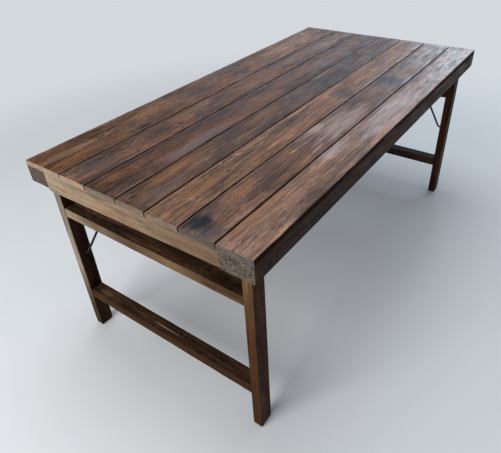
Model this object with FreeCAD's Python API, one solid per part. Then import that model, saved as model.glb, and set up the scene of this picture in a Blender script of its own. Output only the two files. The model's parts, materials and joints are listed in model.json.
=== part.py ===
import FreeCAD, Part
import math
import os

# Folding trestle table of reclaimed timber.
# Seven planks lie on a frame of two side rails and two end rails. Each side rail has two long
# housings cut in its underside, and the round-topped legs of the two leg frames turn on iron
# pins in them. Four bent iron rods brace the legs to eyes driven into the battens under the top.
# Millimetres. +X is the table's right side, +Y runs along its length away from the near end,
# +Z is up, and the origin is on the floor under the middle of the top.

# Overall
TABLE_LENGTH = 1770.0
TABLE_WIDTH = 900.0
TABLE_HEIGHT = 764.0
TOP_THICKNESS = 78.0

# Planks, from left to right. They share the width evenly, apart from each one's own difference.
PLANK_DIFFERENCES = (44.0, -9.0, 3.0, -13.0, -7.0, -7.0, -11.0)
PLANK_THICKNESS = 18.0
PLANK_GAP = 3.0
PLANK_EDGE_WEAR = 1.5

# Frame under the planks
LEFT_RAIL_WIDTH = 89.0
RIGHT_RAIL_WIDTH = 109.0
RAIL_EDGE_WEAR = 2.5
END_RAIL_THICKNESS = 28.0
END_RAIL_LEFT_DROP = 9.0
END_RAIL_RIGHT_RISE = 3.0
END_TENON_LENGTH = 30.0
END_TENON_THICKNESS = 12.0
END_TENON_SHOULDER = 10.0
BATTEN_WIDTH = 44.0
BATTEN_HEIGHT = 25.0

# Leg frames
LEG_WIDTH = 34.0
LEG_DEPTH = 53.0
LEG_SIDE_INSET = 37.0
LEG_END_INSET = 34.0
LEG_EDGE_WEAR = 2.0
FOOT_CHAMFER = 4.0
LOWER_STRETCHER_RISE = 161.0
LOWER_STRETCHER_HEIGHT = 40.0
LOWER_STRETCHER_DEPTH = 51.0
UPPER_STRETCHER_DROP = 106.0
UPPER_STRETCHER_HEIGHT = 36.0
UPPER_STRETCHER_DEPTH = 60.0
STRETCHER_REVEAL = 1.0
STRETCHER_EDGE_WEAR = 1.5
TENON_LENGTH = 22.0
TENON_SHOULDER = 8.0

# Pivot pins, their washers and their hammered ends
PIN_DIAMETER = 12.0
PIN_RISE = 24.0
PIN_HEAD_DIAMETER = 16.0
PIN_HEAD_THICKNESS = 4.0
PIN_HEAD_SINK = 1.0
WASHER_DIAMETER = 26.0
WASHER_THICKNESS = 2.5
RIVET_DIAMETER = 17.0
RIVET_TIP_DIAMETER = 10.0
RIVET_HEIGHT = 5.0

# Stay rods and the eyes that they hook into
ROD_DIAMETER = 9.0
STAY_HOLE_RISE = 374.0
STAY_HOLE_DEPTH = 24.0
STAY_STAND_OFF = 14.0
STAY_REACH = 250.0
STAY_TOE_IN = 60.0
STAY_HOOK_LENGTH = 20.0
STAY_BEND_RADIUS = 13.0
EYE_BAR = 5.0
EYE_BAR_CHAMFER = 1.2
EYE_HOLE_DIAMETER = 14.0
EYE_STEM = 5.0
EYE_SHANK_DIAMETER = 4.2
EYE_SHANK_LENGTH = 16.0

# Clearances
RUNNING_CLEARANCE = 0.08
FIXED_CLEARANCE = 0.05
TENON_CLEARANCE = 0.1
HEAD_CLEARANCE = 0.5
LEG_SIDE_CLEARANCE = 0.5
LEG_STOP_CLEARANCE = 0.3
LEG_TOP_CLEARANCE = 1.0
FOOT_CLEARANCE = 8.0
WASHER_CLEARANCE = 0.3
ROD_END_CLEARANCE = 1.0
HOOK_CLEARANCE = 1.0

# Sizes that follow from the ones above
HALF_LENGTH = TABLE_LENGTH / 2
HALF_WIDTH = TABLE_WIDTH / 2
LEFT_RAIL_INNER = -HALF_WIDTH + LEFT_RAIL_WIDTH
RIGHT_RAIL_INNER = HALF_WIDTH - RIGHT_RAIL_WIDTH
PLANK_COUNT = len(PLANK_DIFFERENCES)
PLANK_ROOM = TABLE_WIDTH - PLANK_GAP * (PLANK_COUNT - 1)
EVEN_PLANK_WIDTH = (PLANK_ROOM - sum(PLANK_DIFFERENCES)) / PLANK_COUNT
RAIL_BOTTOM = TABLE_HEIGHT - TOP_THICKNESS
PLANK_BOTTOM = TABLE_HEIGHT - PLANK_THICKNESS
BATTEN_BOTTOM = PLANK_BOTTOM - BATTEN_HEIGHT

LEG_OUTER = HALF_WIDTH - LEG_SIDE_INSET
LEG_INNER = LEG_OUTER - LEG_WIDTH
LEG_FRONT = -HALF_LENGTH + LEG_END_INSET
LEG_BACK = LEG_FRONT + LEG_DEPTH
PIN_RADIUS = PIN_DIAMETER / 2
PIN_Y = LEG_FRONT + LEG_DEPTH / 2
PIN_Z = RAIL_BOTTOM + PIN_RISE
LEG_ROUND = LEG_DEPTH / 2

HOUSING_OUTER = LEG_OUTER + LEG_SIDE_CLEARANCE
HOUSING_FRONT = LEG_FRONT - LEG_STOP_CLEARANCE
HOUSING_BACK = PIN_Y + PIN_Z + FOOT_CLEARANCE
HOUSING_TOP = PIN_Z + LEG_ROUND + LEG_TOP_CLEARANCE

ROD_RADIUS = ROD_DIAMETER / 2
STAY_LOWER_X = LEG_INNER - STAY_STAND_OFF
STAY_UPPER_X = STAY_LOWER_X - STAY_TOE_IN
HOOK_END_X = STAY_UPPER_X - STAY_HOOK_LENGTH
EYE_HALF_BAR = EYE_BAR / 2
EYE_HOLE_RADIUS = EYE_HOLE_DIAMETER / 2
EYE_OUTER_RADIUS = EYE_HOLE_RADIUS + EYE_BAR
EYE_SHANK_RADIUS = EYE_SHANK_DIAMETER / 2
EYE_X = HOOK_END_X - HOOK_CLEARANCE - EYE_HALF_BAR
EYE_Y = PIN_Y + STAY_REACH
EYE_Z = BATTEN_BOTTOM - EYE_STEM - EYE_OUTER_RADIUS

CENTRE = FreeCAD.Vector(0, 0, 0)
ACROSS = FreeCAD.Vector(1, 0, 0)
ALONG = FreeCAD.Vector(0, 1, 0)
SAME_PLACE = 1e-6


def box(low, high):
    """A box between two corners."""
    size = [b - a for a, b in zip(low, high)]
    return Part.makeBox(*size, FreeCAD.Vector(*low))


def rod_across(radius, x_from, x_to, y, z):
    """A round bar or hole that runs across the table."""
    return Part.makeCylinder(radius, x_to - x_from, FreeCAD.Vector(x_from, y, z), ACROSS)


def ring_across(radius, hole_radius, x_from, x_to, y, z):
    """A flat ring whose axis runs across the table."""
    return rod_across(radius, x_from, x_to, y, z).cut(rod_across(hole_radius, x_from, x_to, y, z))


def to_left(shape):
    """The same piece on the table's left side."""
    return shape.mirror(CENTRE, ACROSS)


def to_far(shape):
    """The same piece at the table's far end."""
    return shape.mirror(CENTRE, ALONG)


def at_corners(name, shape):
    """Nodes for a piece that each corner has, modelled at the near right corner."""
    left = to_left(shape)
    return {
        name + "_near_left": left,
        name + "_near_right": shape,
        name + "_far_left": to_far(left),
        name + "_far_right": to_far(shape),
    }


def edges_along(shape, axis, keep):
    """Straight edges parallel to an axis whose middle passes a test."""
    found = []
    for edge in shape.Edges:
        first, last = edge.Vertexes[0].Point, edge.Vertexes[-1].Point
        run = last.sub(first)
        if run.Length > 0 and run.normalize().cross(axis).Length < SAME_PLACE:
            if keep(first.add(last).multiply(0.5)):
                found.append(edge)
    return found


def make_plank(x_from, x_to):
    """A full-length board with worn upper edges."""
    board = box((x_from, -HALF_LENGTH, PLANK_BOTTOM), (x_to, HALF_LENGTH, TABLE_HEIGHT))
    rim = [edge for edge in board.Edges if edge.BoundBox.ZMin > PLANK_BOTTOM + SAME_PLACE]
    return board.makeChamfer(PLANK_EDGE_WEAR, rim)


def make_planks():
    """The boards across the table's width, an even gap apart."""
    planks = {}
    x = -HALF_WIDTH
    for number, difference in enumerate(PLANK_DIFFERENCES, 1):
        width = EVEN_PLANK_WIDTH + difference
        planks["plank_%d" % number] = make_plank(x, x + width)
        x += width + PLANK_GAP
    return planks


def end_tenon(x_from, x_to, clearance):
    """The tongue of the near end rail, or its mortise when given a clearance."""
    middle = -HALF_LENGTH + END_RAIL_THICKNESS / 2
    half = END_TENON_THICKNESS / 2 + clearance
    low = (x_from - clearance, middle - half, RAIL_BOTTOM + END_TENON_SHOULDER - clearance)
    high = (x_to + clearance, middle + half, PLANK_BOTTOM - END_TENON_SHOULDER + clearance)
    return box(low, high)


def make_end_rail():
    """The near end board under the planks, tenoned into both side rails, its lower edge a little askew."""
    left_bottom = RAIL_BOTTOM - END_RAIL_LEFT_DROP
    right_bottom = RAIL_BOTTOM + END_RAIL_RIGHT_RISE
    corners = [(LEFT_RAIL_INNER, left_bottom), (RIGHT_RAIL_INNER, right_bottom),
               (RIGHT_RAIL_INNER, PLANK_BOTTOM), (LEFT_RAIL_INNER, PLANK_BOTTOM), (LEFT_RAIL_INNER, left_bottom)]
    outline = Part.makePolygon([FreeCAD.Vector(x, -HALF_LENGTH, z) for x, z in corners])
    board = Part.Face(outline).extrude(FreeCAD.Vector(0, END_RAIL_THICKNESS, 0))
    tongue = end_tenon(LEFT_RAIL_INNER - END_TENON_LENGTH, RIGHT_RAIL_INNER + END_TENON_LENGTH, 0)
    return board.fuse(tongue).removeSplitter()


def make_side_rail(inner, outer):
    """A side beam under the planks with a leg housing, pin hole and tenon mortise at each end.

    inner and outer are the distances of its faces from the table's middle line.
    """
    beam = box((inner, -HALF_LENGTH, RAIL_BOTTOM), (outer, HALF_LENGTH, PLANK_BOTTOM))

    def is_outer_lower(point):
        return point.z < RAIL_BOTTOM + SAME_PLACE and point.x > outer - SAME_PLACE

    beam = beam.makeFillet(RAIL_EDGE_WEAR, edges_along(beam, ALONG, is_outer_lower))
    housing = box((inner, HOUSING_FRONT, RAIL_BOTTOM), (HOUSING_OUTER, HOUSING_BACK, HOUSING_TOP))
    pin_hole = rod_across(PIN_RADIUS + FIXED_CLEARANCE, HOUSING_OUTER, outer, PIN_Y, PIN_Z)
    head_depth = PIN_HEAD_THICKNESS + PIN_HEAD_SINK
    head_hole = rod_across(PIN_HEAD_DIAMETER / 2 + HEAD_CLEARANCE, outer - head_depth, outer, PIN_Y, PIN_Z)
    mortise = end_tenon(inner, inner + END_TENON_LENGTH, TENON_CLEARANCE)
    for cut in (housing, pin_hole, head_hole, mortise):
        beam = beam.cut(cut).cut(to_far(cut))
    return beam


def make_batten(y):
    """A cross batten under the planks, centred at y."""
    half = BATTEN_WIDTH / 2
    return box((LEFT_RAIL_INNER, y - half, BATTEN_BOTTOM), (RIGHT_RAIL_INNER, y + half, PLANK_BOTTOM))


def make_eye_batten():
    """The near batten, bored for the shanks of its two eyes."""
    bore = Part.makeCylinder(EYE_SHANK_RADIUS + FIXED_CLEARANCE, EYE_SHANK_LENGTH + FIXED_CLEARANCE,
                             FreeCAD.Vector(EYE_X, EYE_Y, BATTEN_BOTTOM))
    return make_batten(EYE_Y).cut(bore).cut(to_left(bore))


def make_pin():
    """The near right pivot pin: sunk head, plain shank and hammered inner end, turned about its axis."""
    head_out = HALF_WIDTH - PIN_HEAD_SINK
    head_in = head_out - PIN_HEAD_THICKNESS
    head_radius = PIN_HEAD_DIAMETER / 2
    rivet_base = LEG_INNER - WASHER_THICKNESS - 2 * WASHER_CLEARANCE
    rivet_tip = rivet_base - RIVET_HEIGHT

    def at(x, radius):
        return FreeCAD.Vector(x, PIN_Y, PIN_Z + radius)

    outline = [at(head_out, 0), at(head_out, head_radius), at(head_in, head_radius),
               at(head_in, PIN_RADIUS), at(rivet_base, PIN_RADIUS), at(rivet_base, RIVET_DIAMETER / 2),
               at(rivet_tip, RIVET_TIP_DIAMETER / 2), at(rivet_tip, 0), at(head_out, 0)]
    return Part.Face(Part.makePolygon(outline)).revolve(at(0, 0), ACROSS, 360)


def make_washer():
    """The washer between the near right leg and the pin's hammered end."""
    outer = LEG_INNER - WASHER_CLEARANCE
    return ring_across(WASHER_DIAMETER / 2, PIN_RADIUS + FIXED_CLEARANCE, outer - WASHER_THICKNESS, outer,
                       PIN_Y, PIN_Z)


def stretcher_sizes():
    """Lower face, upper face and depth of the lower and the upper stretcher."""
    lower_top = LOWER_STRETCHER_RISE + LOWER_STRETCHER_HEIGHT
    upper_top = RAIL_BOTTOM - UPPER_STRETCHER_DROP
    return {
        "lower_stretcher": (LOWER_STRETCHER_RISE, lower_top, LOWER_STRETCHER_DEPTH),
        "upper_stretcher": (upper_top - UPPER_STRETCHER_HEIGHT, upper_top, UPPER_STRETCHER_DEPTH),
    }


def tenon(x_from, x_to, bottom, top, clearance):
    """A stretcher's tongue at the near end, or its mortise when given a clearance."""
    inset = STRETCHER_REVEAL + TENON_SHOULDER - clearance
    low = (x_from, LEG_FRONT + inset, bottom + TENON_SHOULDER - clearance)
    high = (x_to, LEG_BACK - inset, top - TENON_SHOULDER + clearance)
    return box(low, high)


def make_stretcher(bottom, top, depth):
    """A flat bar between the near legs, tenoned into both."""
    front = LEG_FRONT + STRETCHER_REVEAL
    bar = box((-LEG_INNER, front, bottom), (LEG_INNER, front + depth, top))
    bar = bar.makeChamfer(STRETCHER_EDGE_WEAR, edges_along(bar, ACROSS, lambda point: True))
    reach = LEG_INNER + TENON_LENGTH
    return bar.fuse(tenon(-reach, reach, bottom, top, 0)).removeSplitter()


def make_leg():
    """The near right leg: round top on its pin, worn edges, chamfered foot."""
    shank = box((LEG_INNER, LEG_FRONT, 0), (LEG_OUTER, LEG_BACK, PIN_Z))
    crown = rod_across(LEG_ROUND, LEG_INNER, LEG_OUTER, PIN_Y, PIN_Z)
    leg = shank.fuse(crown).removeSplitter()
    rim = [edge for edge in leg.Edges
           if edge.BoundBox.ZMax > FOOT_CHAMFER and edge.BoundBox.XLength < SAME_PLACE]
    leg = leg.makeFillet(LEG_EDGE_WEAR, rim)
    envelope = box((LEG_INNER, LEG_FRONT, 0), (LEG_OUTER, LEG_BACK, PIN_Z + LEG_ROUND))
    foot_edges = [edge for edge in envelope.Edges if edge.BoundBox.ZMax < FOOT_CHAMFER]
    leg = leg.common(envelope.makeChamfer(FOOT_CHAMFER, foot_edges))

    pin_hole = rod_across(PIN_RADIUS + RUNNING_CLEARANCE, LEG_INNER, LEG_OUTER, PIN_Y, PIN_Z)
    rod_hole = rod_across(ROD_RADIUS + RUNNING_CLEARANCE, LEG_INNER, LEG_INNER + STAY_HOLE_DEPTH,
                          PIN_Y, STAY_HOLE_RISE)
    leg = leg.cut(pin_hole).cut(rod_hole)
    mortise_end = LEG_INNER + TENON_LENGTH + TENON_CLEARANCE
    for bottom, top, depth in stretcher_sizes().values():
        leg = leg.cut(tenon(LEG_INNER, mortise_end, bottom, top, TENON_CLEARANCE))
    return leg


def rounded_path(points, radius):
    """Straight runs between points, with a tangent arc of the given radius at each corner."""
    edges = []
    start = points[0]
    for before, corner, after in zip(points, points[1:], points[2:]):
        back = before.sub(corner).normalize()
        ahead = after.sub(corner).normalize()
        half_angle = back.getAngle(ahead) / 2
        setback = radius / math.tan(half_angle)
        bisector = back.add(ahead).normalize()
        arc_start = corner.add(FreeCAD.Vector(back).multiply(setback))
        arc_end = corner.add(FreeCAD.Vector(ahead).multiply(setback))
        arc_middle = corner.add(bisector.multiply(radius / math.sin(half_angle) - radius))
        edges.append(Part.LineSegment(start, arc_start).toShape())
        edges.append(Part.Arc(arc_start, arc_middle, arc_end).toShape())
        start = arc_end
    edges.append(Part.LineSegment(start, points[-1]).toShape())
    return Part.Wire(edges)


def make_stay():
    """The near right stay: one iron rod, bent square at the leg and again into a hook."""
    first = FreeCAD.Vector(LEG_INNER + STAY_HOLE_DEPTH - ROD_END_CLEARANCE, PIN_Y, STAY_HOLE_RISE)
    route = [first,
             FreeCAD.Vector(STAY_LOWER_X, PIN_Y, STAY_HOLE_RISE),
             FreeCAD.Vector(STAY_UPPER_X, EYE_Y, EYE_Z),
             FreeCAD.Vector(HOOK_END_X, EYE_Y, EYE_Z)]
    section = Part.Wire(Part.makeCircle(ROD_RADIUS, first, ACROSS))
    return rounded_path(route, STAY_BEND_RADIUS).makePipeShell([section], True, False)


def make_eye():
    """The near right eye: a forged ring for the hook, with a shank driven into the batten."""
    ring = ring_across(EYE_OUTER_RADIUS, EYE_HOLE_RADIUS, EYE_X - EYE_HALF_BAR, EYE_X + EYE_HALF_BAR,
                       EYE_Y, EYE_Z)
    rims = [edge for edge in ring.Edges if edge.BoundBox.XLength < SAME_PLACE]
    ring = ring.makeChamfer(EYE_BAR_CHAMFER, rims)
    shank_foot = EYE_Z + EYE_HOLE_RADIUS + EYE_HALF_BAR
    shank = Part.makeCylinder(EYE_SHANK_RADIUS, BATTEN_BOTTOM + EYE_SHANK_LENGTH - shank_foot,
                              FreeCAD.Vector(EYE_X, EYE_Y, shank_foot))
    return ring.fuse(shank)


def make_top():
    """Everything that stays with the top."""
    end_rail = make_end_rail()
    eye_batten = make_eye_batten()
    nodes = {
        "side_rail_left": to_left(make_side_rail(-LEFT_RAIL_INNER, HALF_WIDTH)),
        "side_rail_right": make_side_rail(RIGHT_RAIL_INNER, HALF_WIDTH),
        "end_rail_near": end_rail,
        "end_rail_far": to_far(end_rail),
        "batten_near": eye_batten,
        "batten_middle": make_batten(0),
        "batten_far": to_far(eye_batten),
    }
    nodes.update(make_planks())
    nodes.update(at_corners("pivot_pin", make_pin()))
    nodes["pivot_washers"] = Part.makeCompound(list(at_corners("washer", make_washer()).values()))
    nodes.update(at_corners("stay_eye", make_eye()))
    return nodes


def make_leg_frames():
    """Both leg frames, with the rods that turn in their legs."""
    nodes = at_corners("leg", make_leg())
    for name, (bottom, top, depth) in stretcher_sizes().items():
        stretcher = make_stretcher(bottom, top, depth)
        nodes[name + "_near"] = stretcher
        nodes[name + "_far"] = to_far(stretcher)
    nodes.update(at_corners("stay_rod", make_stay()))
    return nodes


os.makedirs("parts", exist_ok=True)
for node, shape in {**make_top(), **make_leg_frames()}.items():
    shape.exportStep("parts/%s.step" % node)
    print("%-24s solids %d valid %s volume %.0f" % (node, len(shape.Solids), shape.isValid(), shape.Volume))
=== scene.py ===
"""Looks of a folding trestle table of reclaimed timber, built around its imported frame."""
import json
import logging
import math
from contextlib import contextmanager
from dataclasses import dataclass, replace
from enum import Enum
from typing import Any, Callable, Iterator, Mapping, Optional, Sequence, Union

import bpy
from mathutils import Matrix, Vector


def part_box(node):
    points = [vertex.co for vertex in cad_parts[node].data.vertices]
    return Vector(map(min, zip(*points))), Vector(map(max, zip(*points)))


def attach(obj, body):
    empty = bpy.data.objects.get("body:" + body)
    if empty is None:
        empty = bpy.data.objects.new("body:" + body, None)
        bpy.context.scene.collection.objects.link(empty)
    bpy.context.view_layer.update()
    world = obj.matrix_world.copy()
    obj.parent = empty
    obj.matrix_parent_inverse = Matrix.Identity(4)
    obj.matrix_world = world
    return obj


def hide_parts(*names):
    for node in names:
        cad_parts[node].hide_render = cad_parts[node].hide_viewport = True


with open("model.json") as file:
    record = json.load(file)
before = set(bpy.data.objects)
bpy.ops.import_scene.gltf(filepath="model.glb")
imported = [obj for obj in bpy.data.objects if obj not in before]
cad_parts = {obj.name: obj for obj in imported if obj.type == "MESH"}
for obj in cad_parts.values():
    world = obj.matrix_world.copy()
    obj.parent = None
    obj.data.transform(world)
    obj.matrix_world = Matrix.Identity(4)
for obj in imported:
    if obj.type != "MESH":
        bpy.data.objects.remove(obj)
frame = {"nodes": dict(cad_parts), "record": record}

log = logging.getLogger("trestle_table")

Colour = tuple[float, float, float]
Point = tuple[float, float, float]
Place = tuple[float, float]
Input = Union["Field", float, Sequence[float]]

RECORD = frame["record"]
BODY_OF = {node: body for body, nodes in RECORD["behaviour"]["bodies"].items() for node in nodes}
SLOT_OF = {part["node"]: part["material_slot"] for part in RECORD["subparts"]}

FLOOR_HEIGHT = 0.0
PLANK_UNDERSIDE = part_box("plank_1")[0].z
SNUG_HEIGHTS = (FLOOR_HEIGHT, PLANK_UNDERSIDE)
SNUG_REACH = 0.0008

MERGE_DISTANCE = 1e-5
FLAT_ANGLE = math.radians(0.4)
SMOOTH_ANGLE = math.radians(40)
RIM_COSINE = 0.97
SEED_STRIDE = 7.31
NOISE_MEAN = 0.5


class Grain(Enum):
    """The axis that a timber's fibres follow."""

    ACROSS = 0
    ALONG = 1
    UP = 2


class End(Enum):
    """An end of the table."""

    NEAR = "near"
    FAR = "far"

    def outward(self) -> Point:
        """Direction away from the table at this end."""
        return 0.0, -1.0 if self is End.NEAR else 1.0, 0.0


class Side(Enum):
    """A side of the table."""

    LEFT = "left"
    RIGHT = "right"


class Level(Enum):
    """A stretcher's place on its leg frame."""

    LOWER = "lower"
    UPPER = "upper"


def tone(red: int, green: int, blue: int) -> Colour:
    """Linear colour of an 8-bit screen colour.

    Args:
        red: Red, 0 to 255.
        green: Green, 0 to 255.
        blue: Blue, 0 to 255.

    Returns:
        The colour as a shader takes it.
    """
    def linear(value: float) -> float:
        """One channel, from screen value to light."""
        return value / 12.92 if value <= 0.04045 else ((value + 0.055) / 1.055) ** 2.4

    return linear(red / 255), linear(green / 255), linear(blue / 255)


SOOT = tone(38, 34, 36)
ASH = tone(88, 80, 82)
GOLD = tone(140, 92, 50)
BLUE_BLACK = tone(5, 6, 24)
SLATE = tone(54, 55, 64)


class Field:
    """A shader socket that joins in arithmetic: each operator adds one Math node."""

    def __init__(self, shader: "Shader", socket: bpy.types.NodeSocket) -> None:
        """Wraps an output socket of a shader's node."""
        self.shader = shader
        self.socket = socket

    def __add__(self, other: Input) -> "Field":
        """self + other."""
        return self.shader.maths("ADD", self, other)

    def __radd__(self, other: Input) -> "Field":
        """other + self."""
        return self.shader.maths("ADD", other, self)

    def __sub__(self, other: Input) -> "Field":
        """self - other."""
        return self.shader.maths("SUBTRACT", self, other)

    def __rsub__(self, other: Input) -> "Field":
        """other - self."""
        return self.shader.maths("SUBTRACT", other, self)

    def __mul__(self, other: Input) -> "Field":
        """self * other."""
        return self.shader.maths("MULTIPLY", self, other)

    def __rmul__(self, other: Input) -> "Field":
        """other * self."""
        return self.shader.maths("MULTIPLY", other, self)

    def __truediv__(self, other: Input) -> "Field":
        """self / other."""
        return self.shader.maths("DIVIDE", self, other)

    def __rtruediv__(self, other: Input) -> "Field":
        """other / self."""
        return self.shader.maths("DIVIDE", other, self)

    def __abs__(self) -> "Field":
        """abs(self)."""
        return self.shader.maths("ABSOLUTE", self)

    def least(self, other: Input) -> "Field":
        """The smaller of the two values."""
        return self.shader.maths("MINIMUM", self, other)

    def most(self, other: Input) -> "Field":
        """The larger of the two values."""
        return self.shader.maths("MAXIMUM", self, other)

    def fraction(self) -> "Field":
        """What is left past the last whole number."""
        return self.shader.maths("FRACT", self)

    def root(self) -> "Field":
        """The square root."""
        return self.shader.maths("SQRT", self)

    def rise(self, low: float, high: float) -> "Field":
        """A smooth step.

        Args:
            low: Value up to which the step is 0.
            high: Value from which the step is 1.

        Returns:
            The step, 0 to 1.
        """
        return self.shader.node("ShaderNodeMapRange", {"interpolation_type": "SMOOTHSTEP"},
                                {"Value": self, "From Min": low, "From Max": high})

    def fall(self, low: float, high: float) -> "Field":
        """A smooth step down: 1 up to low, 0 from high."""
        return 1.0 - self.rise(low, high)

    def line(self, base: float, slope: float) -> "Field":
        """The value times a slope, on a base."""
        return self * slope + base

    def swing(self) -> "Field":
        """How far a random value lies from its mean."""
        return self - NOISE_MEAN


class Shader:
    """A node tree while it is put together."""

    def __init__(self, owner: Union[bpy.types.Material, bpy.types.World]) -> None:
        """Starts with an empty tree.

        Args:
            owner: The material or world that the tree belongs to.
        """
        owner.use_nodes = True
        self.owner = owner
        self.tree = owner.node_tree
        self.tree.nodes.clear()

    @classmethod
    def of_material(cls, name: str) -> "Shader":
        """Starts a new material of that name."""
        return cls(bpy.data.materials.new(name))

    def node(self, kind: str, settings: Optional[Mapping[str, Any]] = None,
             sockets: Optional[Mapping[Union[str, int], Input]] = None,
             output: Union[str, int] = 0) -> Field:
        """Adds any node.

        Args:
            kind: The node's type name.
            settings: Properties set first; "stops" holds a colour ramp's positions and colours.
            sockets: Values or links of its inputs, by name or place.
            output: The output to hand back, by name or place.

        Returns:
            That output as a field.
        """
        made = self.tree.nodes.new(kind)
        for name, value in (settings or {}).items():
            if name == "stops":
                self._set_stops(made.color_ramp, value)
            else:
                setattr(made, name, value)
        for key, value in (sockets or {}).items():
            entry = made.inputs[key]
            if isinstance(value, Field):
                self.tree.links.new(value.socket, entry)
            elif entry.type == "RGBA" and len(value) == 3:
                entry.default_value = (*value, 1.0)
            else:
                entry.default_value = value
        return Field(self, made.outputs[output] if made.outputs else None)

    @staticmethod
    def _set_stops(ramp: bpy.types.ColorRamp, stops: Sequence[tuple[float, Colour]]) -> None:
        """Gives a colour ramp its stops.

        Args:
            ramp: The ramp.
            stops: Positions and colours, from left to right.
        """
        while len(ramp.elements) < len(stops):
            ramp.elements.new(1.0)
        for element, (position, colour) in zip(ramp.elements, stops):
            element.position = position
            element.color = (*colour, 1.0)

    def maths(self, operation: str, *values: Input) -> Field:
        """A Math node of one to three values."""
        return self.node("ShaderNodeMath", {"operation": operation}, dict(enumerate(values)))

    def parts(self, kind: str) -> tuple[Field, Field, Field]:
        """Splits a texture coordinate.

        Args:
            kind: The coordinate, such as Object or Normal.

        Returns:
            Its X, Y and Z.
        """
        source = self.node("ShaderNodeTexCoord", output=kind)
        first = self.node("ShaderNodeSeparateXYZ", sockets={0: source})
        return first, self.sibling(first, "Y"), self.sibling(first, "Z")

    def sibling(self, known: Field, output: Union[str, int]) -> Field:
        """Another output of the node that a field comes from."""
        return Field(self, known.socket.node.outputs[output])

    def noise(self, x: Input, y: Input, z: Input, detail: float = 2.0, rough: float = 0.5) -> Field:
        """Smooth random values with a mean of one half.

        Args:
            x: First coordinate, already scaled.
            y: Second coordinate, already scaled.
            z: Third coordinate, already scaled.
            detail: Number of finer layers.
            rough: Weight of each finer layer.

        Returns:
            The random field.
        """
        point = self.node("ShaderNodeCombineXYZ", sockets={0: x, 1: y, 2: z})
        return self.node("ShaderNodeTexNoise", sockets={"Vector": point, "Scale": 1.0, "Detail": detail,
                                                        "Roughness": rough})

    def ramp(self, value: Field, *stops: tuple[float, Colour]) -> Field:
        """A colour ramp over a value."""
        return self.node("ShaderNodeValToRGB", {"stops": stops}, {0: value})

    def mix(self, share: Input, under: Input, over: Input) -> Field:
        """Lays one colour over another by a share of 0 to 1."""
        return self.node("ShaderNodeMix", {"data_type": "RGBA"}, {0: share, 6: under, 7: over}, output=2)

    def scaled(self, colour: Input, factor: Input) -> Field:
        """A colour made lighter or darker by a factor."""
        return self.node("ShaderNodeVectorMath", {"operation": "SCALE"}, {0: colour, "Scale": factor})

    def shows_backdrop(self) -> Field:
        """1 on rays that show what lies behind: from the camera, off gloss and through glass."""
        camera = self.node("ShaderNodeLightPath", output="Is Camera Ray")
        return camera.most(self.sibling(camera, "Is Glossy Ray")).most(self.sibling(camera, "Is Transmission Ray"))

    def principled(self, colour: Input, roughness: Input, height: Field, depth: float,
                   specular: float, metallic: float = 0.0) -> Field:
        """A principled surface with a bump.

        Args:
            colour: Base colour.
            roughness: Roughness.
            height: Height field of the bump, about 0 to 1.
            depth: The bump's depth in metres.
            specular: Level of the mirror-like share, 0.5 for a polished surface.
            metallic: Share of metal.

        Returns:
            The surface.
        """
        normal = self.node("ShaderNodeBump", sockets={"Strength": 1.0, "Distance": depth, "Height": height})
        return self.node("ShaderNodeBsdfPrincipled",
                         sockets={"Base Color": colour, "Roughness": roughness, "Metallic": metallic,
                                  "Specular IOR Level": specular, "Normal": normal})

    def finish(self, surface: Field) -> bpy.types.Material:
        """Ends a material's tree in a surface.

        Args:
            surface: The surface.

        Returns:
            The finished material.
        """
        self.node("ShaderNodeOutputMaterial", sockets={"Surface": surface})
        return self.owner


def weighed(fields: Sequence[Field], weights: Sequence[float]) -> Field:
    """The sum of fields, each times its weight.

    Args:
        fields: The fields.
        weights: Their weights, in the same order.

    Returns:
        The sum.
    """
    parts = [field * weight for field, weight in zip(fields, weights)]
    total = parts[0]
    for part in parts[1:]:
        total = total + part
    return total


@dataclass(frozen=True)
class Drift:
    """A random pattern drawn out along the grain.

    Attributes:
        offset: Moves the pattern, so that no two are alike.
        lengthwise: Waves per metre along the grain.
        crosswise: Waves per metre across it.
        detail: Number of finer layers.
        rough: Weight of each finer layer.
        start: Value at which its patches start.
        full: Value from which they are full.
        straight: Whether it keeps straight where the fibres bend.
    """

    offset: float
    lengthwise: float
    crosswise: float
    detail: float = 3.0
    rough: float = 0.5
    start: float = 0.0
    full: float = 1.0
    straight: bool = False

    def field(self, shader: Shader, along: Field, across: Field, depth: Field) -> Field:
        """The pattern at each point.

        Args:
            shader: The material.
            along: Place along the grain.
            across: Place across it.
            depth: Place in the depth.

        Returns:
            Its values, one half on average.
        """
        return shader.noise(along * self.lengthwise + self.offset, across * self.crosswise,
                            depth * self.crosswise, self.detail, self.rough)


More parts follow.
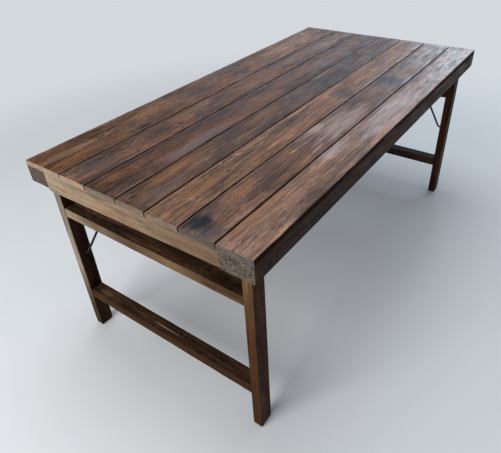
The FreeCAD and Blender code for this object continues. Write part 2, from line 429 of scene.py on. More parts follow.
class Patterns:
    """The random patterns of old timber."""

    SWAY = Drift(0.0, 1.5, 4.0, 1.0)
    RIPPLE = Drift(0.0, 8.0, 30.0, 1.0)
    BROAD = Drift(0.0, 1.2, 19.0)
    MOTTLE = Drift(60.0, 38.0, 55.0, 5.0, 0.75)
    MIDDLING = Drift(40.0, 4.0, 85.0, 4.0, 0.65)
    FINE = Drift(80.0, 9.0, 210.0, 4.0, 0.7)
    LINES = Drift(20.0, 1.7, 62.0, 2.0)
    PORES = Drift(900.0, 45.0, 240.0, 3.0, 0.6)
    GLOSS = Drift(77.0, 12.0, 50.0, 4.0)
    GLOW = Drift(120.0, 1.6, 13.0, start=0.44, full=0.6)
    FILM = Drift(260.0, 2.2, 9.0, 4.0, start=0.5, full=0.66)
    RUBBED = Drift(200.0, 5.0, 70.0, 5.0, start=0.54, full=0.66)
    SOOTED = Drift(160.0, 3.2, 16.0, 5.0, start=0.48, full=0.64)
    SCRATCHES = Drift(300.0, 16.0, 34.0, 3.0, 0.6, straight=True)
    SCRATCHED = Drift(330.0, 5.0, 14.0, start=0.5, full=0.6)
    CLOUDS = Drift(520.0, 6.0, 20.0, 5.0)
    SAWN = Drift(9.0, 3.0, 7.0, 2.0, start=0.44, full=0.6, straight=True)
    SAW_TEETH = Drift(440.0, 14.0, 40.0, start=0.34, full=0.6)
    WAXED = Drift(440.0, 6.0, 24.0, 4.0, start=0.48, full=0.66)
    STAINED = Drift(420.0, 7.0, 30.0, 5.0, start=0.5, full=0.66)
    PITS = Drift(0.0, 150.0, 190.0, 1.0, start=0.66, full=0.74, straight=True)
    SEAM = Drift(510.0, 14.0, 40.0, 4.0)
    SEAM_DIRT = Drift(530.0, 3.0, 8.0, 4.0, start=0.42, full=0.62)
    BLOT_RIM = Drift(0.0, 9.0, 80.0, 5.0)
    KNOT_RIM = Drift(3.0, 60.0, 60.0)
    CRACK_RIM = Drift(31.0, 40.0, 60.0)


@dataclass
class GrainFields:
    """What the fibres of one timber are like at each point of it."""

    shader: Shader
    along: Field
    across: Field
    depth: Field
    shifted: Field
    bent: Field
    broad: Field
    mottle: Field
    middling: Field
    fine: Field
    lines: Field
    latewood: Field

    def drift(self, pattern: Drift) -> Field:
        """A random pattern on this timber."""
        return pattern.field(self.shader, self.shifted, self.across if pattern.straight else self.bent, self.depth)

    def patches(self, pattern: Drift) -> Field:
        """A random pattern's patches, 0 to 1."""
        return self.drift(pattern).rise(pattern.start, pattern.full)

    def distance(self, middle: Place, reach: Place) -> Field:
        """Distance from a place on the timber, as a share of an ellipse's reach.

        Args:
            middle: The place, across and along the grain.
            reach: Half width and half length of the ellipse.

        Returns:
            0 at the middle, 1 on the ellipse.
        """
        sideways = (self.across - middle[0]) / reach[0]
        lengthways = (self.along - middle[1]) / reach[1]
        return (sideways * sideways + lengthways * lengthways).root()


@dataclass(frozen=True)
class Tones:
    """Colours of one timber, from its darkest streaks to its rubbed ones, and of its cut ends."""

    dark: Colour
    base: Colour
    warm: Colour
    pale: Colour
    end_dark: Colour
    end_pale: Colour

    DARK_SHARES = (0.30, 0.28, 0.30)
    WARM_SHARES = (1.60, 1.25, 0.85)
    PALE_SHARES = (1.95, 1.90, 1.85)
    SCRATCH_LIFT = 1.35

    @classmethod
    def around(cls, base: Colour, ends: tuple[Colour, Colour]) -> "Tones":
        """Streak tones round a timber's main colour.

        Args:
            base: The main colour.
            ends: Darkest and palest tone of the cut ends.

        Returns:
            The tones.
        """
        def shaded(shares: Colour) -> Colour:
            """The main colour with a share of each channel."""
            return tuple(value * share for value, share in zip(base, shares))

        return cls(shaded(cls.DARK_SHARES), base, shaded(cls.WARM_SHARES), shaded(cls.PALE_SHARES), *ends)

    def scratched(self) -> Colour:
        """The greyed pale tone of scratches."""
        grey = sum(self.pale) / len(self.pale)
        return tuple(self.SCRATCH_LIFT * (value + grey) / 2 for value in self.pale)


@dataclass(frozen=True)
class Blot:
    """A stain, streak, bleached patch or painted sheen patch with a ragged rim.

    Attributes:
        middle: Its place, across and along the grain.
        reach: Half width and half length.
        colour: Its colour.
        strength: How far it covers the wood.
        ragged: How far its rim wanders, as a share of its reach.
        fibrous: How far single fibres keep free of it.
    """

    middle: Place
    reach: Place
    colour: Colour
    strength: float = 0.8
    ragged: float = 2.6
    fibrous: float = 0.7

    OFFSETS = 50.0
    FADE = (0.35, 1.25)
    FREE_FIBRES = (0.36, 0.56)

    def paint(self, fields: GrainFields, colour: Field) -> Field:
        """Lays the blot over a colour.

        Args:
            fields: The timber.
            colour: The colour under it.

        Returns:
            The new colour.
        """
        rim = replace(Patterns.BLOT_RIM, offset=self.middle[1] * self.OFFSETS)
        wander = fields.drift(rim).swing() * self.ragged
        share = (fields.distance(self.middle, self.reach) + wander).fall(*self.FADE)
        covered = 1.0 - fields.fine.fall(*self.FREE_FIBRES) * self.fibrous
        return fields.shader.mix(share * covered * self.strength, colour, self.colour)


@dataclass(frozen=True)
class Knot:
    """A knot that the fibres run round.

    Attributes:
        middle: Its place, across and along the grain.
        reach: Half width and half length.
    """

    middle: Place
    reach: Place

    SPREAD = 2.2
    PUSH = -1.6
    WANDER = 0.5
    RINGS = 5.0
    RING_RISE = (0.3, 0.9)
    RING_SHADE = (0.4, 0.5)
    FADE = (0.7, 1.2)
    COLLAR_RISE = (0.75, 1.0)
    COLLAR_FALL = (1.05, 1.4)
    COLLAR_SHARE = 0.3
    HEART = (0.2, 0.5)
    HEART_SHADE = 0.45

    def push(self, across: Field, along: Field) -> Field:
        """How far the fibres are pushed aside.

        Args:
            across: Place across the grain.
            along: Place along it.

        Returns:
            The sideways shift in metres.
        """
        sideways = (across - self.middle[0]) / (self.reach[0] * self.SPREAD)
        lengthways = (along - self.middle[1]) / (self.reach[1] * self.SPREAD)
        near = (sideways * sideways + lengthways * lengthways).fall(0.0, 1.0)
        return sideways * near * self.reach[0] * self.PUSH

    def paint(self, fields: GrainFields, colour: Field, tones: Tones) -> Field:
        """Darkens the knot's rings and heart over a colour.

        Args:
            fields: The timber.
            colour: The colour under the knot.
            tones: The timber's colours.

        Returns:
            The new colour.
        """
        shader = fields.shader
        far = fields.distance(self.middle, self.reach) + fields.drift(Patterns.KNOT_RIM).swing() * self.WANDER
        rings = (far * self.RINGS).fraction().rise(*self.RING_RISE)
        ringed = shader.mix(far.fall(*self.FADE) * rings.line(*self.RING_SHADE), colour, tones.dark)
        collar = far.rise(*self.COLLAR_RISE) * far.fall(*self.COLLAR_FALL)
        ringed = shader.mix(collar * self.COLLAR_SHARE, ringed, tones.pale)
        return shader.mix(far.fall(*self.HEART), ringed, shader.scaled(tones.dark, self.HEART_SHADE))


@dataclass(frozen=True)
class Crack:
    """A split that starts at a board's end and runs along it.

    Attributes:
        start: Its place at the board's end, across and along.
        bends: Where it shifts sideways: from, to, and by how much.
        end: Where it has closed.
        width: Its width at the start.
        depth: How deep it goes.
    """

    start: Place
    bends: tuple[Point, ...]
    end: float
    width: float
    depth: float

    BOTTOM_SHARE = 0.15
    CLOSED_SHARE = 0.2
    LIFTED = tone(132, 115, 98)
    FADE_LENGTH = 0.14
    WANDER = 0.014
    LIFTED_FROM = (0.0, 0.004)
    LIFTED_TO = (0.010, 0.030)
    LIFTED_FIBRES = (0.36, 0.6)
    LIFTED_SHARE = 0.75
    SPLIT = (0.001, 0.005)
    SPLIT_SHARE = 0.85

    def course(self, along: float) -> float:
        """The crack's place across the board.

        Args:
            along: Place along the board.

        Returns:
            The place across it.
        """
        across = self.start[0]
        for first, last, shift in self.bends:
            share = min(max((along - first) / (last - first), 0.0), 1.0)
            across += shift * share * share * (3 - 2 * share)
        return across

    def cut(self, piece: bpy.types.Object, top: float, step: float) -> None:
        """Cuts the crack into a board as a wedge.

        Args:
            piece: The board.
            top: Height of its upper face.
            step: Length of the crack's straight runs.
        """
        first = self.start[1] - step
        cutter = Bench.shape(bpy.ops.mesh.primitive_cube_add, size=1.0, location=(0, (first + self.end) / 2, top),
                             scale=(self.width, self.end - first, 2 * self.depth))
        Bench.slice(cutter, Grain.ALONG, step)
        for vertex in cutter.data.vertices:
            left = 1.0 - max(0.0, (vertex.co.y - self.start[1]) / (self.end - self.start[1]))
            lower = self.BOTTOM_SHARE if vertex.co.z < top else 1.0
            vertex.co.x = self.course(vertex.co.y) + vertex.co.x * lower * max(left, self.CLOSED_SHARE)
        Bench.subtract(piece, cutter)

    def paint(self, fields: GrainFields, colour: Field, tones: Tones) -> Field:
        """Greys the wood that has lifted on one side of the crack and darkens the split.

        Args:
            fields: The timber.
            colour: The colour round the crack.
            tones: The timber's colours.

        Returns:
            The new colour.
        """
        across: Input = self.start[0]
        for first, last, shift in self.bends:
            across = fields.along.rise(first, last) * shift + across
        side = across - fields.across + fields.drift(Patterns.CRACK_RIM).swing() * self.WANDER
        reach = fields.along.fall(self.end - self.FADE_LENGTH, self.end)
        lifted = side.rise(*self.LIFTED_FROM) * side.fall(*self.LIFTED_TO) * fields.fine.rise(*self.LIFTED_FIBRES)
        greyed = fields.shader.mix(lifted * reach * self.LIFTED_SHARE, colour, self.LIFTED)
        return fields.shader.mix(abs(side).fall(*self.SPLIT) * reach * self.SPLIT_SHARE, greyed, tones.dark)


@dataclass(frozen=True)
class TimberFinish:
    """The finish of one piece of old timber.

    Attributes:
        name: The material's name.
        tones: Its colours.
        grain: The axis of its fibres.
        seed: Sets it apart from the other pieces.
        pith: Where the heart of the tree lay, across and in depth.
        rings: Growth rings per metre.
        contrast: How far the streaks differ from the main colour.
        warmth: Share of the warm tone.
        grime: Share of dark grime.
        rubbed: Share of pale rubbed streaks.
        streaky: How far long streaks take the place of short ones.
        sawn: Share of cross saw marks.
        sawn_zone: Middle and reach of a place where they are plain to see.
        gloss: Mean roughness.
        specular: Level of the mirror-like share.
        wear_and_light_facing: Outward direction of a face that has its own colour.
        wear_and_light_tones: That face's colours, by their places along the grain.
        limits: Edges of the board, across the grain, where dirt gathers.
        marks: Stains and patches.
        knots: Knots.
        crack: A long split.
    """

    name: str
    tones: Tones
    grain: Grain
    seed: float
    pith: Place
    rings: float = 110.0
    contrast: float = 1.0
    warmth: float = 0.6
    grime: float = 0.6
    rubbed: float = 0.5
    streaky: float = 0.2
    sawn: float = 0.0
    sawn_zone: Optional[tuple[Place, Place]] = None
    gloss: float = 0.5
    specular: float = 0.03
    # wear_and_light_facing: Outward direction of a face that has its own colour: worn wood, paler as painted light
    # on lit faces and darker as painted shade on faces turned from the light.
    wear_and_light_facing: Optional[Point] = None
    # wear_and_light_tones: That face's colours, by their places along the grain, painted light and shade included.
    wear_and_light_tones: tuple[tuple[float, Colour], ...] = ()
    limits: Optional[Place] = None
    # marks: Stains and patches, some of them painted sheen.
    marks: tuple[Blot, ...] = ()
    knots: tuple[Knot, ...] = ()
    crack: Optional[Crack] = None

    # Relief and gloss
    BUMP_DEPTH = 0.0009
    RELIEF = (0.4, 0.3, 0.25, 0.4, 0.3)
    GLOSS_SWING = 0.7
    LATEWOOD_GLOSS = 0.05
    DULL = 0.85
    DULL_SPECULAR = 0.02

    # Course of the fibres
    SWAY_REACH = 0.05
    RIPPLE_REACH = 0.007
    LINE_WIDTH = (0.0, 0.035)
    RING_WANDER = (2.5, 0.6)
    LATEWOOD_RISE = (0.35, 0.9)
    LATEWOOD_FALL = (0.93, 1.0)

    # Saw marks
    SAW_WAVES = (490.0, 60.0, 4.5)
    SAW_SHARE = 0.35
    SAW_SHADE = 0.5
    ZONE_FADE = (0.3, 1.0)

    # Faces along the grain
    SHORT_STREAKED = (1.1, 0.6, 1.2, 2.1)
    LONG_STREAKED = (1.1, 1.8, 1.2, 0.7)
    TONE_STOPS = (0.08, 0.46, 0.6, 0.97)
    GLOWING_FIBRES = (0.4, 0.58)
    FILMED_FIBRES = (0.35, 0.6)
    FILM_SHARE = 0.12
    RUBBED_FIBRES = (0.4, 0.6)
    RUBBED_SHARE = 0.8
    SOOTED_FIBRES = (0.42, 0.62)
    LINE_SHARE = 0.4
    SCRATCH_WIDTH = (0.004, 0.03)
    SCRATCH_SHARE = 0.75
    LATEWOOD_SHADE = 0.25
    FINE_LIGHT = (0.5, 1.0)
    PORE_LIGHT = (0.3, 1.4)
    CLOUD_LIGHT = (-0.2, 2.4)

    # The outward face: worn wood with painted light and shade
    WEAR_AND_LIGHT_REACH = 1.0
    FACING = (0.5, 0.85)
    OLD_WAX = (1.02, 0.84, 0.62)
    WAX_SHARE = 0.5
    STAIN_STRENGTH = (0.3, 0.8)
    STAIN_SHARE = 0.8
    STAIN_SHADE = 0.42
    PIT_SHARE = 0.8
    PIT_SHADE = 0.3
    WEAR_AND_LIGHT_STREAKS = (0.8, 0.7, 0.7)
    WEAR_AND_LIGHT_DARKENING = 0.05
    WEAR_AND_LIGHT_LINES = 0.35

    # Seams
    SEAM_WANDER = 0.012
    GRUBBY = (0.004, 0.024)
    GRUBBY_SHARE = 0.8
    # The pale line beside a seam is partly a painted highlight, where light catches the worn edge.
    RUBBED_HIGHLIGHT_FROM = (0.001, 0.004)
    RUBBED_HIGHLIGHT_TO = (0.005, 0.010)
    RUBBED_HIGHLIGHT_SHARE = 0.3
    SEAM = (-0.001, 0.005)
    SEAM_SHARE = 0.9
    SEAM_SHADE = 0.4

    # Cut ends: waves across, in depth and along; offset, layers and their weight
    CUT_WAVES = ((85.0, 75.0, 8.0), (330.0, 45.0, 1.0), (40.0, 260.0, 1.0))
    CUT_LAYERS = ((0.0, 5.0, 0.75), (0.0, 3.0, 0.65), (9.0, 3.0, 0.65))
    CUT_WEIGHTS = (0.5, 0.26, 0.18, 0.06)
    CUT_STOPS = (0.38, 0.63)
    CUT_FACING = (0.55, 0.8)

    def material(self) -> bpy.types.Material:
        """Builds the material.

        Returns:
            The finished material.
        """
        shader = Shader.of_material(self.name)
        fields = self._fields(shader)
        saw = self._saw(fields)
        colour = self._wear_and_light_face(fields, self._body(fields))
        for mark in self.marks:
            colour = mark.paint(fields, colour)
        colour = shader.scaled(colour, 1.0 + saw * self.SAW_SHADE)
        for knot in self.knots:
            colour = knot.paint(fields, colour, self.tones)
        if self.crack:
            colour = self.crack.paint(fields, colour, self.tones)
        colour = self._end_grain(fields, self._edges(fields, colour))
        uneven = fields.drift(Patterns.GLOSS).swing() * self.GLOSS_SWING
        roughness = self.gloss + uneven - fields.latewood * self.LATEWOOD_GLOSS
        height = weighed((fields.fine, fields.mottle, fields.latewood, saw, fields.middling), self.RELIEF)
        surface = shader.principled(colour, roughness, height, self.BUMP_DEPTH, self.specular)
        if self.wear_and_light_facing:
            dull = shader.principled(colour, self.DULL, height, self.BUMP_DEPTH, self.DULL_SPECULAR)
            surface = shader.node("ShaderNodeMixShader", sockets={0: self._facing(shader), 1: surface, 2: dull})
        return shader.finish(surface)

    def _fields(self, shader: Shader) -> GrainFields:
        """Works out the fibres' course and streaks.

        Args:
            shader: The material.

        Returns:
            What the fibres are like at each point.
        """
        position = shader.parts("Object")
        along = position[self.grain.value]
        across, depth = [part for axis, part in enumerate(position) if axis != self.grain.value]
        shifted = along + self.seed * SEED_STRIDE
        sway = Patterns.SWAY.field(shader, shifted, across, depth).swing()
        ripple = Patterns.RIPPLE.field(shader, shifted, across, depth).swing()
        bent = across + sway * self.SWAY_REACH + ripple * self.RIPPLE_REACH
        for knot in self.knots:
            bent = bent + knot.push(across, along)
        broad, mottle, middling, fine, course = [
            pattern.field(shader, shifted, bent, depth)
            for pattern in (Patterns.BROAD, Patterns.MOTTLE, Patterns.MIDDLING, Patterns.FINE, Patterns.LINES)]
        lines = abs(course.swing()).fall(*self.LINE_WIDTH)
        aside = bent - self.pith[0]
        below = depth - self.pith[1]
        radius = (aside * aside + below * below).root()
        ring = (radius * self.rings + weighed((broad, middling), self.RING_WANDER)).fraction()
        latewood = ring.rise(*self.LATEWOOD_RISE) * ring.fall(*self.LATEWOOD_FALL)
        return GrainFields(shader, along, across, depth, shifted, bent, broad, mottle, middling, fine, lines,
                           latewood)

    def _saw(self, fields: GrainFields) -> Field:
        """Cross saw marks, in patches.

        Args:
            fields: The timber.

        Returns:
            Their height, -1 to 1.
        """
        place = fields.patches(Patterns.SAWN) * (self.sawn * self.SAW_SHARE)
        if self.sawn_zone:
            place = place.most(fields.distance(*self.sawn_zone).fall(*self.ZONE_FADE))
        phase = weighed((fields.along, fields.across, fields.mottle), self.SAW_WAVES)
        return fields.shader.maths("SINE", phase) * place * fields.patches(Patterns.SAW_TEETH)

    def _body(self, fields: GrainFields) -> Field:
        """Colour of the faces that follow the grain.

        Args:
            fields: The timber.

        Returns:
            The colour.
        """
        shader, tones = fields.shader, self.tones
        streaks = [field.swing() for field in (fields.broad, fields.middling, fields.fine, fields.mottle)]
        weights = [short + (long - short) * self.streaky
                   for short, long in zip(self.SHORT_STREAKED, self.LONG_STREAKED)]
        swing = weighed(streaks, weights) * self.contrast
        stops = zip(self.TONE_STOPS, (tones.dark, tones.base, tones.base, tones.pale))
        colour = shader.ramp(NOISE_MEAN + swing, *stops)
        glow = fields.patches(Patterns.GLOW) * fields.middling.rise(*self.GLOWING_FIBRES)
        film = fields.patches(Patterns.FILM) * fields.fine.rise(*self.FILMED_FIBRES)
        rubbed = fields.patches(Patterns.RUBBED) * fields.mottle.rise(*self.RUBBED_FIBRES)
        soot = fields.patches(Patterns.SOOTED) * fields.middling.fall(*self.SOOTED_FIBRES)
        scratch = abs(fields.drift(Patterns.SCRATCHES).swing()).fall(*self.SCRATCH_WIDTH)
        scratch = scratch * fields.patches(Patterns.SCRATCHED)
        layers = ((glow, self.warmth, tones.warm),
                  (film, self.grime * self.FILM_SHARE, ASH),
                  (rubbed, self.rubbed * self.RUBBED_SHARE, tones.pale),
                  (soot, self.grime, SOOT),
                  (fields.lines, self.contrast * self.LINE_SHARE, tones.dark),
                  (scratch, self.rubbed * self.SCRATCH_SHARE, tones.scratched()))
        for place, share, laid in layers:
            colour = shader.mix(place * share, colour, laid)
        shade = (1.0 - fields.latewood * self.LATEWOOD_SHADE) * fields.fine.line(*self.FINE_LIGHT)
        shade = shade * fields.drift(Patterns.PORES).line(*self.PORE_LIGHT)
        return shader.scaled(colour, shade * fields.drift(Patterns.CLOUDS).line(*self.CLOUD_LIGHT))

    def _wear_and_light_face(self, fields: GrainFields, colour: Field) -> Field:
        """Gives the outward face its own colour: worn wood, with painted light and shade from how light falls on
        that side.

        Args:
            fields: The timber.
            colour: The colour of the other faces.

        Returns:
            The new colour.
        """
        if self.wear_and_light_facing is None:
            return colour
        shader = fields.shader
        span = 2.0 * self.WEAR_AND_LIGHT_REACH
        # The ramp paints light and shade with the wood's colour: paler where light falls on an outward face,
        # darker on a face turned from it.
        stops = [((place + self.WEAR_AND_LIGHT_REACH) / span, shade) for place, shade in self.wear_and_light_tones]
        face = shader.ramp(fields.along.line(self.WEAR_AND_LIGHT_REACH / span, 1.0 / span), *stops)
        waxed = shader.node("ShaderNodeVectorMath", {"operation": "MULTIPLY"}, {0: face, 1: self.OLD_WAX})
        face = shader.mix(fields.patches(Patterns.WAXED) * self.WAX_SHARE, face, waxed)
        stained = fields.patches(Patterns.STAINED) * fields.mottle.line(*self.STAIN_STRENGTH)
        face = shader.mix(stained * self.STAIN_SHARE, face, shader.scaled(face, self.STAIN_SHADE))
        pits = fields.patches(Patterns.PITS)
        face = shader.mix(pits * self.PIT_SHARE, face, shader.scaled(face, self.PIT_SHADE))
        streaks = weighed((fields.middling, fields.fine, fields.mottle), self.WEAR_AND_LIGHT_STREAKS)
        streaks = (streaks - self.WEAR_AND_LIGHT_DARKENING) * (1.0 - fields.lines * self.WEAR_AND_LIGHT_LINES)
        return shader.mix(self._facing(shader), colour, shader.scaled(face, streaks))

    def _facing(self, shader: Shader) -> Field:
        """1 on the outward faces, which carry painted light and shade."""
        return weighed(shader.parts("Normal"), self.wear_and_light_facing).rise(*self.FACING)

    def _edges(self, fields: GrainFields, colour: Field) -> Field:
        """Dirt in the seams and a pale line beside them: rubbed wood, partly a painted highlight where light
        catches the worn edge.

        Args:
            fields: The timber.
            colour: The colour under the dirt.

        Returns:
            The new colour.
        """
        if self.limits is None:
            return colour
        shader = fields.shader
        margin = (fields.across - self.limits[0]).least(self.limits[1] - fields.across)
        margin = margin + fields.drift(Patterns.SEAM).swing() * self.SEAM_WANDER
        grubby = margin.fall(*self.GRUBBY) * fields.patches(Patterns.SEAM_DIRT)
        colour = shader.mix(grubby * (self.grime * self.GRUBBY_SHARE), colour, SOOT)
        # Pale line beside the seam: rubbed wood, partly a painted highlight on the worn edge.
        rubbed = margin.rise(*self.RUBBED_HIGHLIGHT_FROM) * margin.fall(*self.RUBBED_HIGHLIGHT_TO)
        colour = shader.mix(rubbed * self.RUBBED_HIGHLIGHT_SHARE, colour, self.tones.pale)
        dirt = shader.scaled(self.tones.dark, self.SEAM_SHADE)
        return shader.mix(margin.fall(*self.SEAM) * self.SEAM_SHARE, colour, dirt)

    def _end_grain(self, fields: GrainFields, colour: Field) -> Field:
        """Gives the faces that cut the fibres across their own colour.

        Args:
            fields: The timber.
            colour: The colour of the other faces.

        Returns:
            The new colour.
        """
        shader, tones = fields.shader, self.tones
        patterns = []
        for (across, depth, along), (offset, detail, rough) in zip(self.CUT_WAVES, self.CUT_LAYERS):
            patterns.append(shader.noise(fields.across * across, fields.depth * depth,
                                         fields.shifted * along + offset, detail, rough))
        shade = weighed((*patterns, 1.0 - fields.latewood), self.CUT_WEIGHTS)
        cut = shader.ramp(shade, *zip(self.CUT_STOPS, (tones.end_dark, tones.end_pale)))
        facing = abs(shader.parts("Normal")[self.grain.value]).rise(*self.CUT_FACING)
        return shader.mix(facing, colour, cut)


@dataclass(frozen=True)
class IronFinish:
    """Blackened wrought iron, hammered and a little rusty.

    Attributes:
        name: The material's name.
        black: Colour of the scale.
        rust: Colour where it is worn through.
        rusted: Share of rust.
        metal: Share of bare metal.
        specular: Level of the mirror-like share.
    """

    name: str = "black_iron"
    black: Colour = tone(22, 22, 25)
    rust: Colour = tone(70, 48, 36)
    rusted: float = 0.5
    metal: float = 0.3
    specular: float = 0.3

    BUMP_DEPTH = 0.0006
    HAMMER_WAVES = 140.0
    HAMMER_LAYERS = (3.0, 0.5)
    HAMMER_LIGHT = (0.6, 0.8)
    RUST_WAVES = 45.0
    RUST_LAYERS = (4.0, 0.65)
    RUST_PATCHES = (0.5, 0.68)
    ROUGHNESS = 0.34
    UNEVENNESS = (0.25, 0.15)

    def material(self) -> bpy.types.Material:
        """Builds the material.

        Returns:
            The finished material.
        """
        shader = Shader.of_material(self.name)
        place = shader.parts("Object")
        hammered = shader.noise(*(part * self.HAMMER_WAVES for part in place), *self.HAMMER_LAYERS)
        worn = shader.noise(*(part * self.RUST_WAVES for part in place), *self.RUST_LAYERS)
        worn = worn.rise(*self.RUST_PATCHES)
        scale = shader.scaled(self.black, hammered.line(*self.HAMMER_LIGHT))
        colour = shader.mix(worn * self.rusted, scale, self.rust)
        roughness = self.ROUGHNESS + weighed((worn, hammered), self.UNEVENNESS)
        surface = shader.principled(colour, roughness, hammered, self.BUMP_DEPTH, self.specular, self.metal)
        return shader.finish(surface)


class Bench:
    """Blender's modelling steps, each on one object."""

    HOLLOW_LAYERS = 2

    @staticmethod
    def take(piece: bpy.types.Object) -> None:
        """Makes a piece the only one selected, and active.

        Args:
            piece: The piece.
        """
        bpy.ops.object.select_all(action="DESELECT")
        piece.select_set(True)
        bpy.context.view_layer.objects.active = piece

    @staticmethod
    @contextmanager
    def editing(piece: bpy.types.Object) -> Iterator[None]:
        """Edit mode on a piece, with all of it selected.

        Args:
            piece: The piece.

        Yields:
            Nothing; edit mode ends with the block.
        """
        Bench.take(piece)
        bpy.ops.object.mode_set(mode="EDIT")
        bpy.ops.mesh.select_all(action="SELECT")
        yield
        bpy.ops.object.mode_set(mode="OBJECT")

    @staticmethod
    def shape(add: Callable[..., Any], **settings: Any) -> bpy.types.Object:
        """Adds a basic shape, with its place and scale in its mesh.

        Args:
            add: The operator that adds it.
            settings: Its sizes and place.

        Returns:
            The shape.
        """
        bpy.ops.object.select_all(action="DESELECT")
        add(**settings)
        piece = bpy.context.object
        Bench.take(piece)
        bpy.ops.object.transform_apply(location=True, rotation=True, scale=True)
        return piece

    @staticmethod
    def place(name: str, data: Union[bpy.types.Mesh, bpy.types.Light, bpy.types.Camera]) -> bpy.types.Object:
        """Adds an object to the scene.

        Args:
            name: Its name.
            data: What it shows.

        Returns:
            The object.
        """
        added = bpy.data.objects.new(name, data)
        bpy.context.scene.collection.objects.link(added)
        return added

    @staticmethod
    def modify(piece: bpy.types.Object, kind: str, **settings: Any) -> None:
        """Adds a modifier and applies it.

        Args:
            piece: The piece.
            kind: The modifier's type name.
            settings: Its properties.
        """
        Bench.take(piece)
        modifier = piece.modifiers.new(kind.lower(), kind)
        for name, value in settings.items():
            setattr(modifier, name, value)
        bpy.ops.object.modifier_apply(modifier=modifier.name)

    @staticmethod
    def copy_of(node: str, name: str) -> bpy.types.Object:
        """A merged copy of a CAD node, with flat faces whole.

        Args:
            node: The CAD node.
            name: The new piece's name.

        Returns:
            The piece.
        """
        piece = Bench.place(name, frame["nodes"][node].data.copy())
        piece.data.materials.clear()
        with Bench.editing(piece):
            bpy.ops.mesh.customdata_custom_splitnormals_clear()
            bpy.ops.mesh.remove_doubles(threshold=MERGE_DISTANCE)
            bpy.ops.mesh.dissolve_limited(angle_limit=FLAT_ANGLE)
        return piece

    @staticmethod
    def slice(piece: bpy.types.Object, axis: Grain, step: float) -> None:
        """Cuts a piece's faces into even slices.

        Args:
            piece: The piece.
            axis: The axis that the cuts stand across.
            step: About how thick a slice is.
        """
        places = [vertex.co[axis.value] for vertex in piece.data.vertices]
        low, high = min(places), max(places)
        count = max(1, round((high - low) / step))
        normal = Matrix.Identity(3)[axis.value]
        with Bench.editing(piece):
            for number in range(1, count):
                bpy.ops.mesh.select_all(action="SELECT")
                bpy.ops.mesh.bisect(plane_co=normal * (low + (high - low) * number / count), plane_no=normal)

    @staticmethod
    def weigh_rims(piece: bpy.types.Object, face_share: float) -> str:
        """Marks the vertices on a piece's edges, apart from those that rest on another piece.

        Args:
            piece: The piece.
            face_share: Weight of the vertices inside its faces.

        Returns:
            The vertex group's name.
        """
        around: dict[int, list[Vector]] = {vertex.index: [] for vertex in piece.data.vertices}
        for face in piece.data.polygons:
            for index in face.vertices:
                around[index].append(face.normal)
        group = piece.vertex_groups.new(name="rims")
        for index, normals in around.items():
            turn = min((a.dot(b) for a in normals for b in normals), default=1.0)
            height = piece.data.vertices[index].co.z
            snug = any(abs(height - resting) < SNUG_REACH for resting in SNUG_HEIGHTS)
            weight = 1.0 if turn < RIM_COSINE else face_share
            group.add([index], 0.0 if snug else weight, "REPLACE")
        return group.name

    @staticmethod
    def roughen(piece: bpy.types.Object, size: float, depth: float, group: str = "") -> None:
        """Wears a piece's surface inwards, unevenly.

        Args:
            piece: The piece.
            size: Size of the hollows.
            depth: Depth of the deepest ones.
            group: Vertex group that the depth goes by.
        """
        hollows = bpy.data.textures.new("hollows", "CLOUDS")
        hollows.noise_scale = size
        hollows.noise_depth = Bench.HOLLOW_LAYERS
        Bench.modify(piece, "DISPLACE", texture=hollows, texture_coords="LOCAL", mid_level=1.0,
                     strength=depth, vertex_group=group)

    @staticmethod
    def keep_within(piece: bpy.types.Object, low: Vector, high: Vector) -> None:
        """Brings stray vertices back to a box.

        Args:
            piece: The piece.
            low: The box's lowest corner.
            high: Its highest corner.
        """
        for vertex in piece.data.vertices:
            vertex.co = [min(max(value, a), b) for value, a, b in zip(vertex.co, low, high)]

    @staticmethod
    def subtract(piece: bpy.types.Object, cutter: bpy.types.Object) -> None:
        """Cuts one piece out of another and discards it."""
        Bench.modify(piece, "BOOLEAN", operation="DIFFERENCE", solver="EXACT", object=cutter)
        bpy.data.objects.remove(cutter)

    @staticmethod
    def smooth(piece: bpy.types.Object) -> None:
        """Smooth shading up to the angle of a worn edge."""
        Bench.take(piece)
        bpy.ops.object.shade_smooth_by_angle(angle=SMOOTH_ANGLE)


@dataclass(frozen=True)
class Chip:
    """A splinter broken from an edge.

    Attributes:
        middle: Where the break is centred.
        reach: Half sizes of the break.
    """

    middle: Point
    reach: Point

    ROUNDNESS = 4
    HOLLOW_SIZE = 1.5
    HOLLOW_DEPTH = 0.8

    def cut(self, piece: bpy.types.Object) -> None:
        """Breaks the chip out of a piece.

        Args:
            piece: The piece.
        """
        cutter = Bench.shape(bpy.ops.mesh.primitive_ico_sphere_add, subdivisions=self.ROUNDNESS, radius=1.0,
                             location=self.middle, scale=self.reach)
        Bench.roughen(cutter, min(self.reach) * self.HOLLOW_SIZE, min(self.reach) * self.HOLLOW_DEPTH)
        Bench.subtract(piece, cutter)


